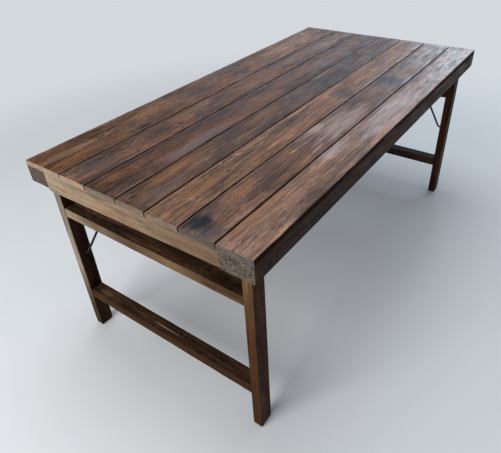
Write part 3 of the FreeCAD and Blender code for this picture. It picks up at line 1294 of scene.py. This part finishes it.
@dataclass
class TimberPiece:
    """A board or bar: a merged copy of its CAD node, sliced along the grain and worn by use.

    Attributes:
        node: The CAD node that it stands for.
        finish: Its finish.
        step: Length of a slice along the grain.
        cross_step: Width of a slice across the grain, if its faces are sliced that way too.
        rim_wear: How deep the edges are worn.
        face_share: How deep the faces are worn, as a share of that.
        chips: Splinters broken from its edges.
    """

    node: str
    finish: TimberFinish
    step: float = 0.03
    cross_step: Optional[float] = None
    rim_wear: float = 0.0016
    face_share: float = 0.25
    chips: tuple[Chip, ...] = ()

    NICK_SIZE = 0.02
    SWELL_SIZE = 0.19
    SWELL_SHARE = 0.5

    def build(self) -> bpy.types.Object:
        """Models and dresses the piece.

        Returns:
            The piece, riding on its body.
        """
        piece = Bench.copy_of(self.node, "worn_" + self.node)
        Bench.slice(piece, self.finish.grain, self.step)
        if self.cross_step:
            crosswise = Grain.ACROSS if self.finish.grain is Grain.ALONG else Grain.ALONG
            Bench.slice(piece, crosswise, self.cross_step)
        rims = Bench.weigh_rims(piece, self.face_share)
        Bench.roughen(piece, self.NICK_SIZE, self.rim_wear, rims)
        Bench.roughen(piece, self.SWELL_SIZE, self.rim_wear * self.SWELL_SHARE, rims)
        low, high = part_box(self.node)
        Bench.keep_within(piece, low, high)
        for chip in self.chips:
            chip.cut(piece)
        if self.finish.crack:
            self.finish.crack.cut(piece, high.z, self.step)
        Bench.smooth(piece)
        piece.data.materials.append(self.finish.material())
        return mount(piece, self.node)


def mount(piece: bpy.types.Object, node: str) -> bpy.types.Object:
    """Lets a piece stand for a CAD node.

    Args:
        piece: The finished piece.
        node: The node that it replaces.

    Returns:
        The piece.
    """
    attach(piece, BODY_OF[node])
    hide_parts(node)
    log.info("%s on %s, %d faces", piece.name, BODY_OF[node], len(piece.data.polygons))
    return piece


@dataclass
class PlankTop:
    """The seven boards of the top.

    Attributes:
        step: Length of a slice along a board.
        cross_step: Width of a slice across a board.
        rim_wear: How deep the boards' edges are worn.
    """

    step: float = 0.024
    cross_step: float = 0.013
    rim_wear: float = 0.0017

    TAN_ENDS = (tone(112, 90, 70), tone(168, 143, 115))
    BROWN_ENDS = (tone(72, 58, 47), tone(126, 106, 86))
    STAINED_ENDS = (tone(38, 33, 30), tone(86, 74, 63))
    GREY_ENDS = (tone(44, 37, 33), tone(94, 83, 74))
    NO_SEAM = 0.05

    def finishes(self) -> list[TimberFinish]:
        """Lists the boards' colours and marks.

        Returns:
            The finishes, from the left board to the right one.
        """
        crack = Crack((-0.352, -0.885), ((-0.885, -0.745, 0.004), (-0.745, -0.690, -0.004),
                                         (-0.690, -0.660, 0.026), (-0.660, -0.632, 0.040)), -0.60, 0.0042, 0.004)
        first = TimberFinish(
            "plank_1_timber", Tones.around(tone(101, 69, 47), self.TAN_ENDS), Grain.ALONG, 1.0, (-0.37, 0.69),
            warmth=0.8, grime=0.55, rubbed=0.7, sawn=0.3, gloss=0.38, specular=0.4, crack=crack,
            knots=(Knot((-0.303, -0.505), (0.015, 0.04)), Knot((-0.317, 0.115), (0.016, 0.036))),
            marks=(Blot((-0.318, -0.77), (0.03, 0.10), GOLD, 0.35),
                   Blot((-0.375, -0.78), (0.016, 0.12), tone(140, 118, 98), 0.4),
                   Blot((-0.300, -0.51), (0.035, 0.075), SOOT, 0.8),
                   Blot((-0.330, 0.115), (0.05, 0.06), SOOT, 0.75),
                   Blot((-0.405, -0.35), (0.02, 0.08), GOLD, 0.55),
                   Blot((-0.430, -0.27), (0.03, 0.035), SOOT, 0.8),
                   Blot((-0.375, -0.42), (0.03, 0.12), tone(158, 114, 76), 0.5),
                   Blot((-0.360, 0.55), (0.06, 0.26), tone(160, 124, 96), 0.55)))
        second = replace(
            first, name="plank_2_timber", seed=2.0, pith=(-0.23, 0.71), crack=None, sawn=0.6,
            tones=Tones.around(tone(96, 66, 51), self.TAN_ENDS), warmth=0.75, grime=0.7,
            knots=(Knot((-0.205, -0.424), (0.010, 0.022)),),
            marks=(Blot((-0.168, -0.80), (0.025, 0.14), SOOT, 0.8),
                   Blot((-0.225, -0.80), (0.05, 0.08), ASH, 0.5),
                   Blot((-0.205, -0.40), (0.02, 0.06), GOLD, 0.5),
                   Blot((-0.240, -0.36), (0.025, 0.12), tone(158, 116, 84), 0.5),
                   Blot((-0.225, 0.10), (0.035, 0.28), GOLD, 0.4),
                   Blot((-0.210, 0.70), (0.035, 0.16), tone(150, 124, 106), 0.5)))
        third = replace(
            second, name="plank_3_timber", seed=3.0, pith=(-0.08, 0.66), sawn=0.4, warmth=0.6, grime=0.6,
            sawn_zone=((-0.052, -0.44), (0.032, 0.30)),
            tones=Tones.around(tone(86, 57, 41), self.BROWN_ENDS), knots=(),
            marks=(Blot((-0.135, -0.33), (0.02, 0.16), SOOT, 0.85),
                   Blot((-0.052, -0.50), (0.034, 0.17), tone(120, 104, 104), 0.6, 1.6, 0.3),
                   Blot((-0.118, -0.80), (0.018, 0.05), GOLD, 0.5),
                   Blot((-0.060, -0.10), (0.025, 0.12), GOLD, 0.45),
                   Blot((-0.095, 0.50), (0.04, 0.30), tone(132, 108, 94), 0.45)))
        fourth = replace(
            third, name="plank_4_timber", seed=4.0, pith=(0.04, 0.70), warmth=0.7, grime=0.65,
            sawn_zone=None, tones=Tones.around(tone(86, 61, 45), self.BROWN_ENDS),
            knots=(Knot((0.012, -0.85), (0.009, 0.018)),),
            marks=(Blot((0.008, -0.66), (0.022, 0.16), GOLD, 0.75),
                   Blot((0.062, -0.53), (0.03, 0.08), SOOT, 0.75),
                   Blot((0.058, -0.76), (0.03, 0.12), ASH, 0.45),
                   Blot((0.018, -0.22), (0.03, 0.12), GOLD, 0.5),
                   Blot((0.045, 0.16), (0.035, 0.12), SOOT, 0.5)))
        fifth = replace(
            fourth, name="plank_5_timber", seed=5.0, pith=(0.12, 0.64), warmth=0.45, rubbed=0.8, grime=0.4,
            streaky=0.7, tones=Tones.around(tone(118, 85, 63), self.BROWN_ENDS),
            knots=(Knot((0.150, -0.60), (0.007, 0.014)),),
            marks=(Blot((0.165, 0.10), (0.055, 0.06), tone(40, 42, 52), 0.85, 1.5, 0.4),
                   Blot((0.177, 0.22), (0.012, 0.06), SOOT, 0.8),
                   Blot((0.120, -0.26), (0.022, 0.10), SOOT, 0.55),
                   Blot((0.140, -0.70), (0.03, 0.12), GOLD, 0.35)))
        sixth = replace(
            fifth, name="plank_6_timber", seed=6.0, pith=(0.29, 0.68), warmth=0.35, rubbed=0.7,
            tones=Tones.around(tone(96, 68, 53), self.STAINED_ENDS), knots=(),
            marks=(Blot((0.240, -0.775), (0.03, 0.05), SOOT, 0.7, 2.0, 0.4),
                   Blot((0.300, -0.855), (0.045, 0.035), SLATE, 0.6, 2.0, 0.4),
                   Blot((0.250, -0.845), (0.045, 0.045), SOOT, 0.7, 1.8, 0.3),
                   Blot((0.246, -0.842), (0.044, 0.036), BLUE_BLACK, 1.0, 1.1, 0.05),
                   Blot((0.250, -0.70), (0.022, 0.09), GOLD, 0.45),
                   # The next two pale grey patches are painted sheen: reflected light on the middle of the board.
                   Blot((0.285, -0.15), (0.05, 0.18), tone(170, 152, 146), 0.75),
                   Blot((0.228, -0.25), (0.02, 0.09), tone(178, 158, 150), 0.7),
                   Blot((0.252, -0.397), (0.005, 0.018), tone(196, 150, 104), 0.9, 0.8),
                   Blot((0.276, 0.320), (0.085, 0.06), tone(36, 40, 52), 0.92, 0.7, 0.2)))
        seventh = replace(
            sixth, name="plank_7_timber", seed=7.0, pith=(0.40, 0.62), sawn=0.3, warmth=0.4, rubbed=0.5,
            grime=0.25, streaky=0.9, tones=Tones.around(tone(117, 88, 72), self.GREY_ENDS),
            # Plank 7's right side is painted darker than its top, partly as painted shade on the side turned from
            # the light.
            wear_and_light_facing=(1.0, 0.0, 0.0), wear_and_light_tones=((-0.9, tone(46, 32, 28)), (0.9, tone(66, 49, 43))),
            marks=(Blot((0.347, -0.74), (0.012, 0.12), GOLD, 0.5),
                   Blot((0.391, -0.64), (0.02, 0.16), tone(160, 122, 98), 0.4),
                   # The next two pale grey patches are painted sheen: reflected light on the middle of the board.
                   Blot((0.355, -0.33), (0.025, 0.10), tone(176, 160, 158), 0.6),
                   Blot((0.390, 0.02), (0.05, 0.26), tone(170, 155, 154), 0.8)))
        return [first, second, third, fourth, fifth, sixth, seventh]

    def build(self) -> list[bpy.types.Object]:
        """Models and dresses the boards.

        Returns:
            The boards, from left to right.
        """
        boards = []
        finishes = self.finishes()
        for number, finish in enumerate(finishes, 1):
            node = "plank_%d" % number
            low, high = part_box(node)
            left = low.x - self.NO_SEAM * (number == 1)
            right = high.x + self.NO_SEAM * (number == len(finishes))
            finish = replace(finish, limits=(left, right))
            boards.append(TimberPiece(node, finish, self.step, self.cross_step, self.rim_wear).build())
        return boards


@dataclass
class RailFrame:
    """Side rails, end rails and battens under the boards.

    Attributes:
        step: Length of a slice along a rail.
        rim_wear: How deep the rails' edges are worn.
    """

    step: float = 0.03
    rim_wear: float = 0.0012

    SIDE_BROWN = tone(60, 42, 36)
    SIDE_ENDS = {Side.LEFT: (tone(30, 25, 22), tone(106, 93, 82)),
                 Side.RIGHT: (tone(22, 18, 16), tone(114, 103, 92))}
    SIDE_SEEDS = {Side.LEFT: 11.0, Side.RIGHT: 12.0}
    SIDE_PITH_DROP = 0.04
    BARE = Tones.around(tone(92, 74, 58), (tone(110, 92, 76), tone(150, 132, 112)))
    # Outward face of the end rails: bare pale wood, painted paler to the left, partly as light from the front
    # left.
    BARE_FACE = ((-0.36, tone(152, 136, 115)), (0.0, tone(131, 110, 91)), (0.34, tone(105, 85, 68)))
    BARE_SEEDS = {End.NEAR: 21.0, End.FAR: 22.0}
    BARE_PITH = (-0.05, -0.02)
    BATTEN_TONES = Tones.around(tone(82, 64, 52), (tone(70, 58, 48), tone(110, 92, 76)))
    BATTEN_SEED = 25.0
    BATTEN_PITH = (0.03, 0.70)
    BATTENS = ("near", "middle", "far")

    def side_finish(self, side: Side) -> TimberFinish:
        """Dark waxed timber for a side rail.

        Args:
            side: The side that it lies on.

        Returns:
            The finish.
        """
        low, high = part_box("side_rail_" + side.value)
        pith = ((low.x + high.x) / 2, low.z - self.SIDE_PITH_DROP)
        tones = Tones.around(self.SIDE_BROWN, self.SIDE_ENDS[side])
        return TimberFinish("side_rail_%s_timber" % side.value, tones, Grain.ALONG, self.SIDE_SEEDS[side], pith,
                            contrast=0.6, warmth=0.3, rubbed=0.25, sawn=0.3)

    def end_finish(self, end: End) -> TimberFinish:
        """Bare pale timber for an end rail, its outward face painted paler to the left, partly as light falling
        from the front left.

        Args:
            end: The end that it lies at.

        Returns:
            The finish.
        """
        low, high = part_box("end_rail_" + end.value)
        pith = (low.y + self.BARE_PITH[0], high.z + self.BARE_PITH[1])
        return TimberFinish("end_rail_%s_timber" % end.value, self.BARE, Grain.ACROSS, self.BARE_SEEDS[end], pith,
                            contrast=0.6, gloss=0.62, wear_and_light_facing=end.outward(), wear_and_light_tones=self.BARE_FACE)

    def batten_finish(self, place: str) -> TimberFinish:
        """Rough-sawn timber for a batten."""
        return TimberFinish("batten_%s_timber" % place, self.BATTEN_TONES, Grain.ACROSS, self.BATTEN_SEED,
                            self.BATTEN_PITH, sawn=0.8, gloss=0.66)

    def chips(self, side: Side) -> tuple[Chip, ...]:
        """Splinters broken from a side rail's near end.

        Args:
            side: The side that the rail lies on.

        Returns:
            The chips.
        """
        low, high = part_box("side_rail_" + side.value)
        if side is Side.LEFT:
            return (Chip((low.x - 0.004, low.y + 0.01, low.z - 0.003), (0.012, 0.04, 0.008)),
                    Chip((low.x + 0.05, low.y - 0.002, low.z - 0.003), (0.03, 0.012, 0.007)))
        return (Chip((low.x + 0.03, low.y - 0.003, low.z - 0.003), (0.03, 0.012, 0.006)),
                Chip((high.x - 0.02, low.y - 0.004, low.z - 0.003), (0.02, 0.010, 0.007)))

    def build(self) -> None:
        """Models and dresses the rails and battens."""
        for side in Side:
            TimberPiece("side_rail_" + side.value, self.side_finish(side), self.step, rim_wear=self.rim_wear,
                        chips=self.chips(side)).build()
        for end in End:
            TimberPiece("end_rail_" + end.value, self.end_finish(end), self.step, rim_wear=self.rim_wear).build()
        for place in self.BATTENS:
            TimberPiece("batten_" + place, self.batten_finish(place), self.step).build()


@dataclass
class LegFrame:
    """Two legs and the two stretchers between them.

    Attributes:
        end: The end of the table that it stands at.
        step: Length of a slice along a bar.
        rim_wear: How deep the bars' edges are worn.
    """

    end: End
    step: float = 0.03
    rim_wear: float = 0.0014

    DARK_ENDS = (tone(40, 31, 25), tone(78, 60, 47))
    # The left legs' brown is darker partly as painted shade: their inner face stands in shadow.
    LEG_BROWNS_AND_SHADE = {Side.LEFT: tone(42, 25, 16), Side.RIGHT: tone(60, 37, 24)}
    # Outward faces of the legs: the left leg's pale upper part is partly painted light from the front left; both
    # are darker towards the bottom.
    LEG_FACES = {
        Side.LEFT: ((0.1, tone(70, 53, 39)), (0.2, tone(98, 81, 66)), (0.32, tone(142, 129, 113)),
                    (0.7, tone(138, 126, 113))),
        Side.RIGHT: ((0.0, tone(64, 42, 26)), (0.45, tone(74, 49, 30)), (0.62, tone(102, 77, 51))),
    }
    LEG_SEED = 31.0
    LEG_PITH_DROP = 0.04
    STRETCHER_BROWNS = {Level.LOWER: tone(54, 39, 29), Level.UPPER: tone(68, 49, 36)}
    # Outward faces of the stretchers: paler to the left, the upper one strongly, partly as painted light from the
    # front left.
    STRETCHER_FACES = {
        Level.LOWER: ((-0.38, tone(72, 50, 36)), (0.38, tone(60, 41, 29))),
        Level.UPPER: ((-0.38, tone(148, 131, 111)), (-0.22, tone(116, 97, 78)), (-0.06, tone(88, 69, 53)),
                      (0.1, tone(112, 90, 66)), (0.24, tone(90, 68, 48)), (0.38, tone(80, 58, 40))),
    }
    STRETCHER_SEED = 41.0
    STRETCHER_PITH = (-0.03, -0.05)
    FAR_SEEDS = 2
    FOOT_EDGE = 0.975

    def leg(self, side: Side) -> str:
        """The CAD node of a leg."""
        return "leg_%s_%s" % (self.end.value, side.value)

    def stretcher(self, level: Level) -> str:
        """The CAD node of a stretcher."""
        return "%s_stretcher_%s" % (level.value, self.end.value)

    def leg_finish(self, side: Side) -> TimberFinish:
        """Dark timber for a leg, with a worn outward face that carries painted light.

        Args:
            side: The side that it stands on.

        Returns:
            The finish.
        """
        low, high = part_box(self.leg(side))
        seed = self.LEG_SEED + self.FAR_SEEDS * (self.end is End.FAR) + (side is Side.RIGHT)
        pith = ((low.x + high.x) / 2, low.y - self.LEG_PITH_DROP)
        tones = Tones.around(self.LEG_BROWNS_AND_SHADE[side], self.DARK_ENDS)
        return TimberFinish(self.leg(side) + "_timber", tones, Grain.UP, seed, pith, warmth=0.5, rubbed=0.3,
                            wear_and_light_facing=self.end.outward(), wear_and_light_tones=self.LEG_FACES[side])

    def stretcher_finish(self, level: Level) -> TimberFinish:
        """Dark timber for a stretcher, with a worn outward face that carries painted light.

        Args:
            level: The stretcher's place on the frame.

        Returns:
            The finish.
        """
        low, _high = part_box(self.stretcher(level))
        seed = self.STRETCHER_SEED + self.FAR_SEEDS * (self.end is End.FAR) + (level is Level.UPPER)
        pith = (low.y + self.STRETCHER_PITH[0], low.z + self.STRETCHER_PITH[1])
        tones = Tones.around(self.STRETCHER_BROWNS[level], self.DARK_ENDS)
        return TimberFinish(self.stretcher(level) + "_timber", tones, Grain.ACROSS, seed, pith,
                            warmth=0.4, rubbed=0.4, wear_and_light_facing=self.end.outward(),
                            wear_and_light_tones=self.STRETCHER_FACES[level], marks=self.worn_places(level, low))

    def worn_places(self, level: Level, low: Vector) -> tuple[Blot, ...]:
        """Pale places that feet have worn on the lower stretcher.

        Args:
            level: The stretcher's place on the frame.
            low: Lowest corner of its box.

        Returns:
            The places, none on the upper stretcher.
        """
        if level is Level.UPPER:
            return ()
        worn = (low.y if self.end is End.NEAR else -low.y) * self.FOOT_EDGE
        return (Blot((worn, -0.31), (0.012, 0.035), tone(130, 106, 82), 0.5, 1.5),
                Blot((worn, 0.0), (0.003, 0.06), tone(170, 146, 120), 0.7, 1.0, 0.3))

    def build(self) -> None:
        """Models and dresses the frame."""
        for side in Side:
            TimberPiece(self.leg(side), self.leg_finish(side), self.step, rim_wear=self.rim_wear).build()
        for level in Level:
            TimberPiece(self.stretcher(level), self.stretcher_finish(level), self.step,
                        rim_wear=self.rim_wear).build()


@dataclass
class Ironwork:
    """Stay rods, their eyes, the pivot pins and their washers.

    Attributes:
        forged: Depth of the hammer's marks.
        mark_size: Size of the hammer's marks.
    """

    forged: float = 0.00025
    mark_size: float = 0.012

    def nodes(self) -> list[str]:
        """The iron CAD nodes."""
        return sorted(node for node, slot in SLOT_OF.items() if slot == "black_iron")

    def build(self) -> None:
        """Models and dresses the iron."""
        rod_finish = IronFinish().material()
        pin_finish = IronFinish("pin_iron", tone(12, 11, 11), tone(24, 18, 15), 0.4, 0.0, 0.05).material()
        for node in self.nodes():
            piece = Bench.copy_of(node, "forged_" + node)
            Bench.roughen(piece, self.mark_size, self.forged)
            Bench.smooth(piece)
            piece.data.materials.append(pin_finish if node.startswith("pivot_pin") else rod_finish)
            mount(piece, node)


@dataclass
class NailHeads:
    """The few nail heads that show in the boards.

    Attributes:
        places: Where they are, across and along the top.
        radius: Radius of a head.
        height: Thickness of a head.
        sides: Sides of a head.
    """

    places: tuple[Place, ...] = ((0.293, 0.161), (0.423, 0.154), (0.401, 0.452), (0.312, -0.089), (0.292, -0.877))
    radius: float = 0.0032
    height: float = 0.0016
    sides: int = 12

    DROP_FROM = 0.1
    BEVEL_SHARE = 0.25
    BEVEL_SEGMENTS = 2

    def head(self) -> bpy.types.Object:
        """Models one head.

        Returns:
            The head, at the origin, with its upper face at height 0.
        """
        head = Bench.shape(bpy.ops.mesh.primitive_cylinder_add, vertices=self.sides, radius=self.radius,
                           depth=self.height, location=(0, 0, -self.height / 2))
        Bench.modify(head, "BEVEL", width=self.radius * self.BEVEL_SHARE, segments=self.BEVEL_SEGMENTS,
                     limit_method="ANGLE")
        return head

    def build(self, boards: Sequence[bpy.types.Object]) -> None:
        """Sets the heads into the boards as one group that rides on the top.

        Args:
            boards: The boards of the top.
        """
        model = self.head()
        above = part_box("plank_1")[1].z + self.DROP_FROM
        heads = []
        for across, along in self.places:
            board = next(b for b in boards if self._is_under(b, across))
            _found, spot, _normal, _face = board.ray_cast(Vector((across, along, above)), Vector((0, 0, -1)))
            head = Bench.place("nail_head", model.data.copy())
            head.data.transform(Matrix.Translation((across, along, spot.z)))
            heads.append(head)
        bpy.data.objects.remove(model)
        Bench.take(heads[0])
        for head in heads[1:]:
            head.select_set(True)
        bpy.ops.object.join()
        group = bpy.context.object
        group.name = "nail_heads"
        Bench.smooth(group)
        group.data.materials.append(IronFinish("nail_iron", tone(24, 22, 22), tone(44, 32, 27)).material())
        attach(group, BODY_OF["plank_1"])
        log.info("nail_heads, %d heads", len(self.places))

    @staticmethod
    def _is_under(board: bpy.types.Object, across: float) -> bool:
        """Whether a board lies under a place across the top."""
        places = [vertex.co.x for vertex in board.data.vertices]
        return min(places) <= across <= max(places)


@dataclass(frozen=True)
class Lamp:
    """A soft rectangular lamp.

    Attributes:
        name: The lamp's name.
        stand: Where it hangs.
        target: What it is turned to.
        size: Its width and height.
        power: Its power in watts.
        colour: Its colour.
    """

    name: str
    stand: Point
    target: Point
    size: Place
    power: float
    colour: Colour

    def hang(self) -> None:
        """Adds the lamp to the scene."""
        data = bpy.data.lights.new(self.name, "AREA")
        data.shape = "RECTANGLE"
        data.size, data.size_y = self.size
        data.energy = self.power
        data.color = self.colour
        lamp = Bench.place(self.name, data)
        lamp.location = self.stand
        lamp.rotation_euler = (Vector(self.target) - Vector(self.stand)).to_track_quat("-Z", "Y").to_euler()


@dataclass
class Studio:
    """Floor, light and camera.

    Attributes:
        floor_size: Length of the floor's sides.
        floor_tone: The floor's colour.
        backdrop_tone: Colour of the floor far from the table and of the horizon.
        ceiling_tone: Colour that gloss shows high above the table.
        wall_tone: Colour of the bright wall that gloss shows past the far end.
        sky_light: Strength of the light from all round.
        lamps: The lamps.
        image: Width and height of the picture.
        focal: Focal length in pixels of the picture.
        centre: The pixel that the camera's axis goes through.
        stand: The camera's place.
        azimuth: The camera's turn about the table, in degrees.
        elevation: Its tilt below the horizon, in degrees.
        roll: Its roll, in degrees.
    """

    floor_size: float = 60.0
    floor_tone: Colour = tone(213, 217, 221)
    backdrop_tone: Colour = tone(211, 216, 220)
    ceiling_tone: Colour = tone(46, 48, 52)
    wall_tone: Colour = tone(222, 232, 250)
    sky_light: float = 0.36
    lamps: tuple[Lamp, ...] = (
        Lamp("key_light", (-0.3, -3.6, 2.1), (0.0, 0.0, 0.4), (2.0, 2.2), 104.0, (1.0, 0.985, 0.965)),
        Lamp("top_light", (-0.9, 0.3, 4.2), (0.0, 0.3, 0.7), (2.4, 2.4), 58.0, (0.98, 0.99, 1.0)),
        Lamp("window_light", (0.45, 3.8, 2.0), (0.2, 0.3, 0.76), (2.4, 2.2), 46.0, (0.72, 0.85, 1.0)),
    )
    image: tuple[int, int] = (501, 453)
    focal: float = 478.16
    centre: Place = (261.35, 207.73)
    stand: Point = (0.9570, -1.5261, 1.4803)
    azimuth: float = 36.754
    elevation: float = 34.940
    roll: float = 2.775

    SENSOR = 36.0
    FLOOR_WAVES = 2.0
    FLOOR_LAYERS = 3.0
    FLOOR_LIGHT = (0.97, 0.06)
    FLOOR_ROUGHNESS = 0.7
    FLOOR_SPECULAR = 0.2
    FLOOR_GRAIN = 1e-4
    FLOOR_FADE = (1.6, 3.2)
    SKY_TONE = (0.96, 0.98, 1.0)
    HORIZON = (0.03, 0.16)
    WALL_RISE = (0.42, 0.62)
    WALL_SPREAD = (0.4, 0.9)

    def build(self) -> None:
        """Sets up everything round the table."""
        self._floor()
        self._world()
        for lamp in self.lamps:
            lamp.hang()
        self._camera()
        bpy.context.scene.view_settings.view_transform = "Standard"

    def _floor(self) -> None:
        """A plain pale floor that keeps the table's shadow and fades into the backdrop."""
        floor = Bench.shape(bpy.ops.mesh.primitive_plane_add, size=self.floor_size)
        floor.name = "studio_floor"
        shader = Shader.of_material("studio_floor_paint")
        x, y, z = shader.parts("Object")
        mottle = shader.noise(x * self.FLOOR_WAVES, y * self.FLOOR_WAVES, z, self.FLOOR_LAYERS)
        colour = shader.scaled(self.floor_tone, mottle.line(*self.FLOOR_LIGHT))
        paint = shader.principled(colour, self.FLOOR_ROUGHNESS, mottle, self.FLOOR_GRAIN, self.FLOOR_SPECULAR)
        glow = shader.node("ShaderNodeEmission", sockets={"Color": self.backdrop_tone})
        away = (x * x + y * y).root().rise(*self.FLOOR_FADE)
        faded = shader.node("ShaderNodeMixShader", sockets={0: away * shader.shows_backdrop(), 1: paint, 2: glow})
        floor.data.materials.append(shader.finish(faded))

    def _world(self) -> None:
        """Even light from all round, a pale backdrop, and a bright wall under a dim ceiling for the gloss."""
        world = bpy.data.worlds.new("studio_world")
        bpy.context.scene.world = world
        shader = Shader(world)
        _across, along, height = shader.parts("Object")
        wall = along.rise(*self.WALL_SPREAD) * height.fall(*self.WALL_RISE)
        sky = shader.mix(height.fall(*self.HORIZON), self.ceiling_tone, self.backdrop_tone)
        sky = shader.mix(wall, sky, self.wall_tone)
        camera = shader.node("ShaderNodeLightPath", output="Is Camera Ray")
        sky = shader.mix(camera, sky, self.backdrop_tone)
        seen = shader.node("ShaderNodeBackground", sockets={"Color": sky})
        light = shader.node("ShaderNodeBackground", sockets={"Color": self.SKY_TONE, "Strength": self.sky_light})
        mixed = shader.node("ShaderNodeMixShader", sockets={0: shader.shows_backdrop(), 1: light, 2: seen})
        shader.node("ShaderNodeOutputWorld", sockets={"Surface": mixed})

    def _camera(self) -> None:
        """A camera at the picture's viewing angle."""
        turn, tilt, roll = (math.radians(angle) for angle in (self.azimuth, self.elevation, self.roll))
        back = Vector((math.sin(turn) * math.cos(tilt), -math.cos(turn) * math.cos(tilt), math.sin(tilt)))
        level = (-back).cross(Vector((0, 0, 1))).normalized()
        down = (-back).cross(level)
        right = level * math.cos(roll) + down * math.sin(roll)
        upward = level * math.sin(roll) - down * math.cos(roll)
        data = bpy.data.cameras.new("picture_camera")
        width, height = self.image
        data.sensor_width = self.SENSOR
        data.lens = self.focal * self.SENSOR / width
        data.shift_x = (width / 2 - self.centre[0]) / width
        data.shift_y = (self.centre[1] - height / 2) / width
        camera = Bench.place("picture_camera", data)
        camera.matrix_world = Matrix.Translation(self.stand) @ Matrix((right, upward, back)).transposed().to_4x4()
        bpy.context.scene.camera = camera


def main() -> None:
    """Builds the table's sub-assemblies in order, then the studio."""
    logging.basicConfig(level=logging.INFO, format="%(message)s")
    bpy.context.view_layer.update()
    boards = PlankTop().build()
    RailFrame().build()
    for end in End:
        LegFrame(end).build()
    Ironwork().build()
    NailHeads().build(boards)
    Studio().build()


if __name__ == "__main__":
    main()
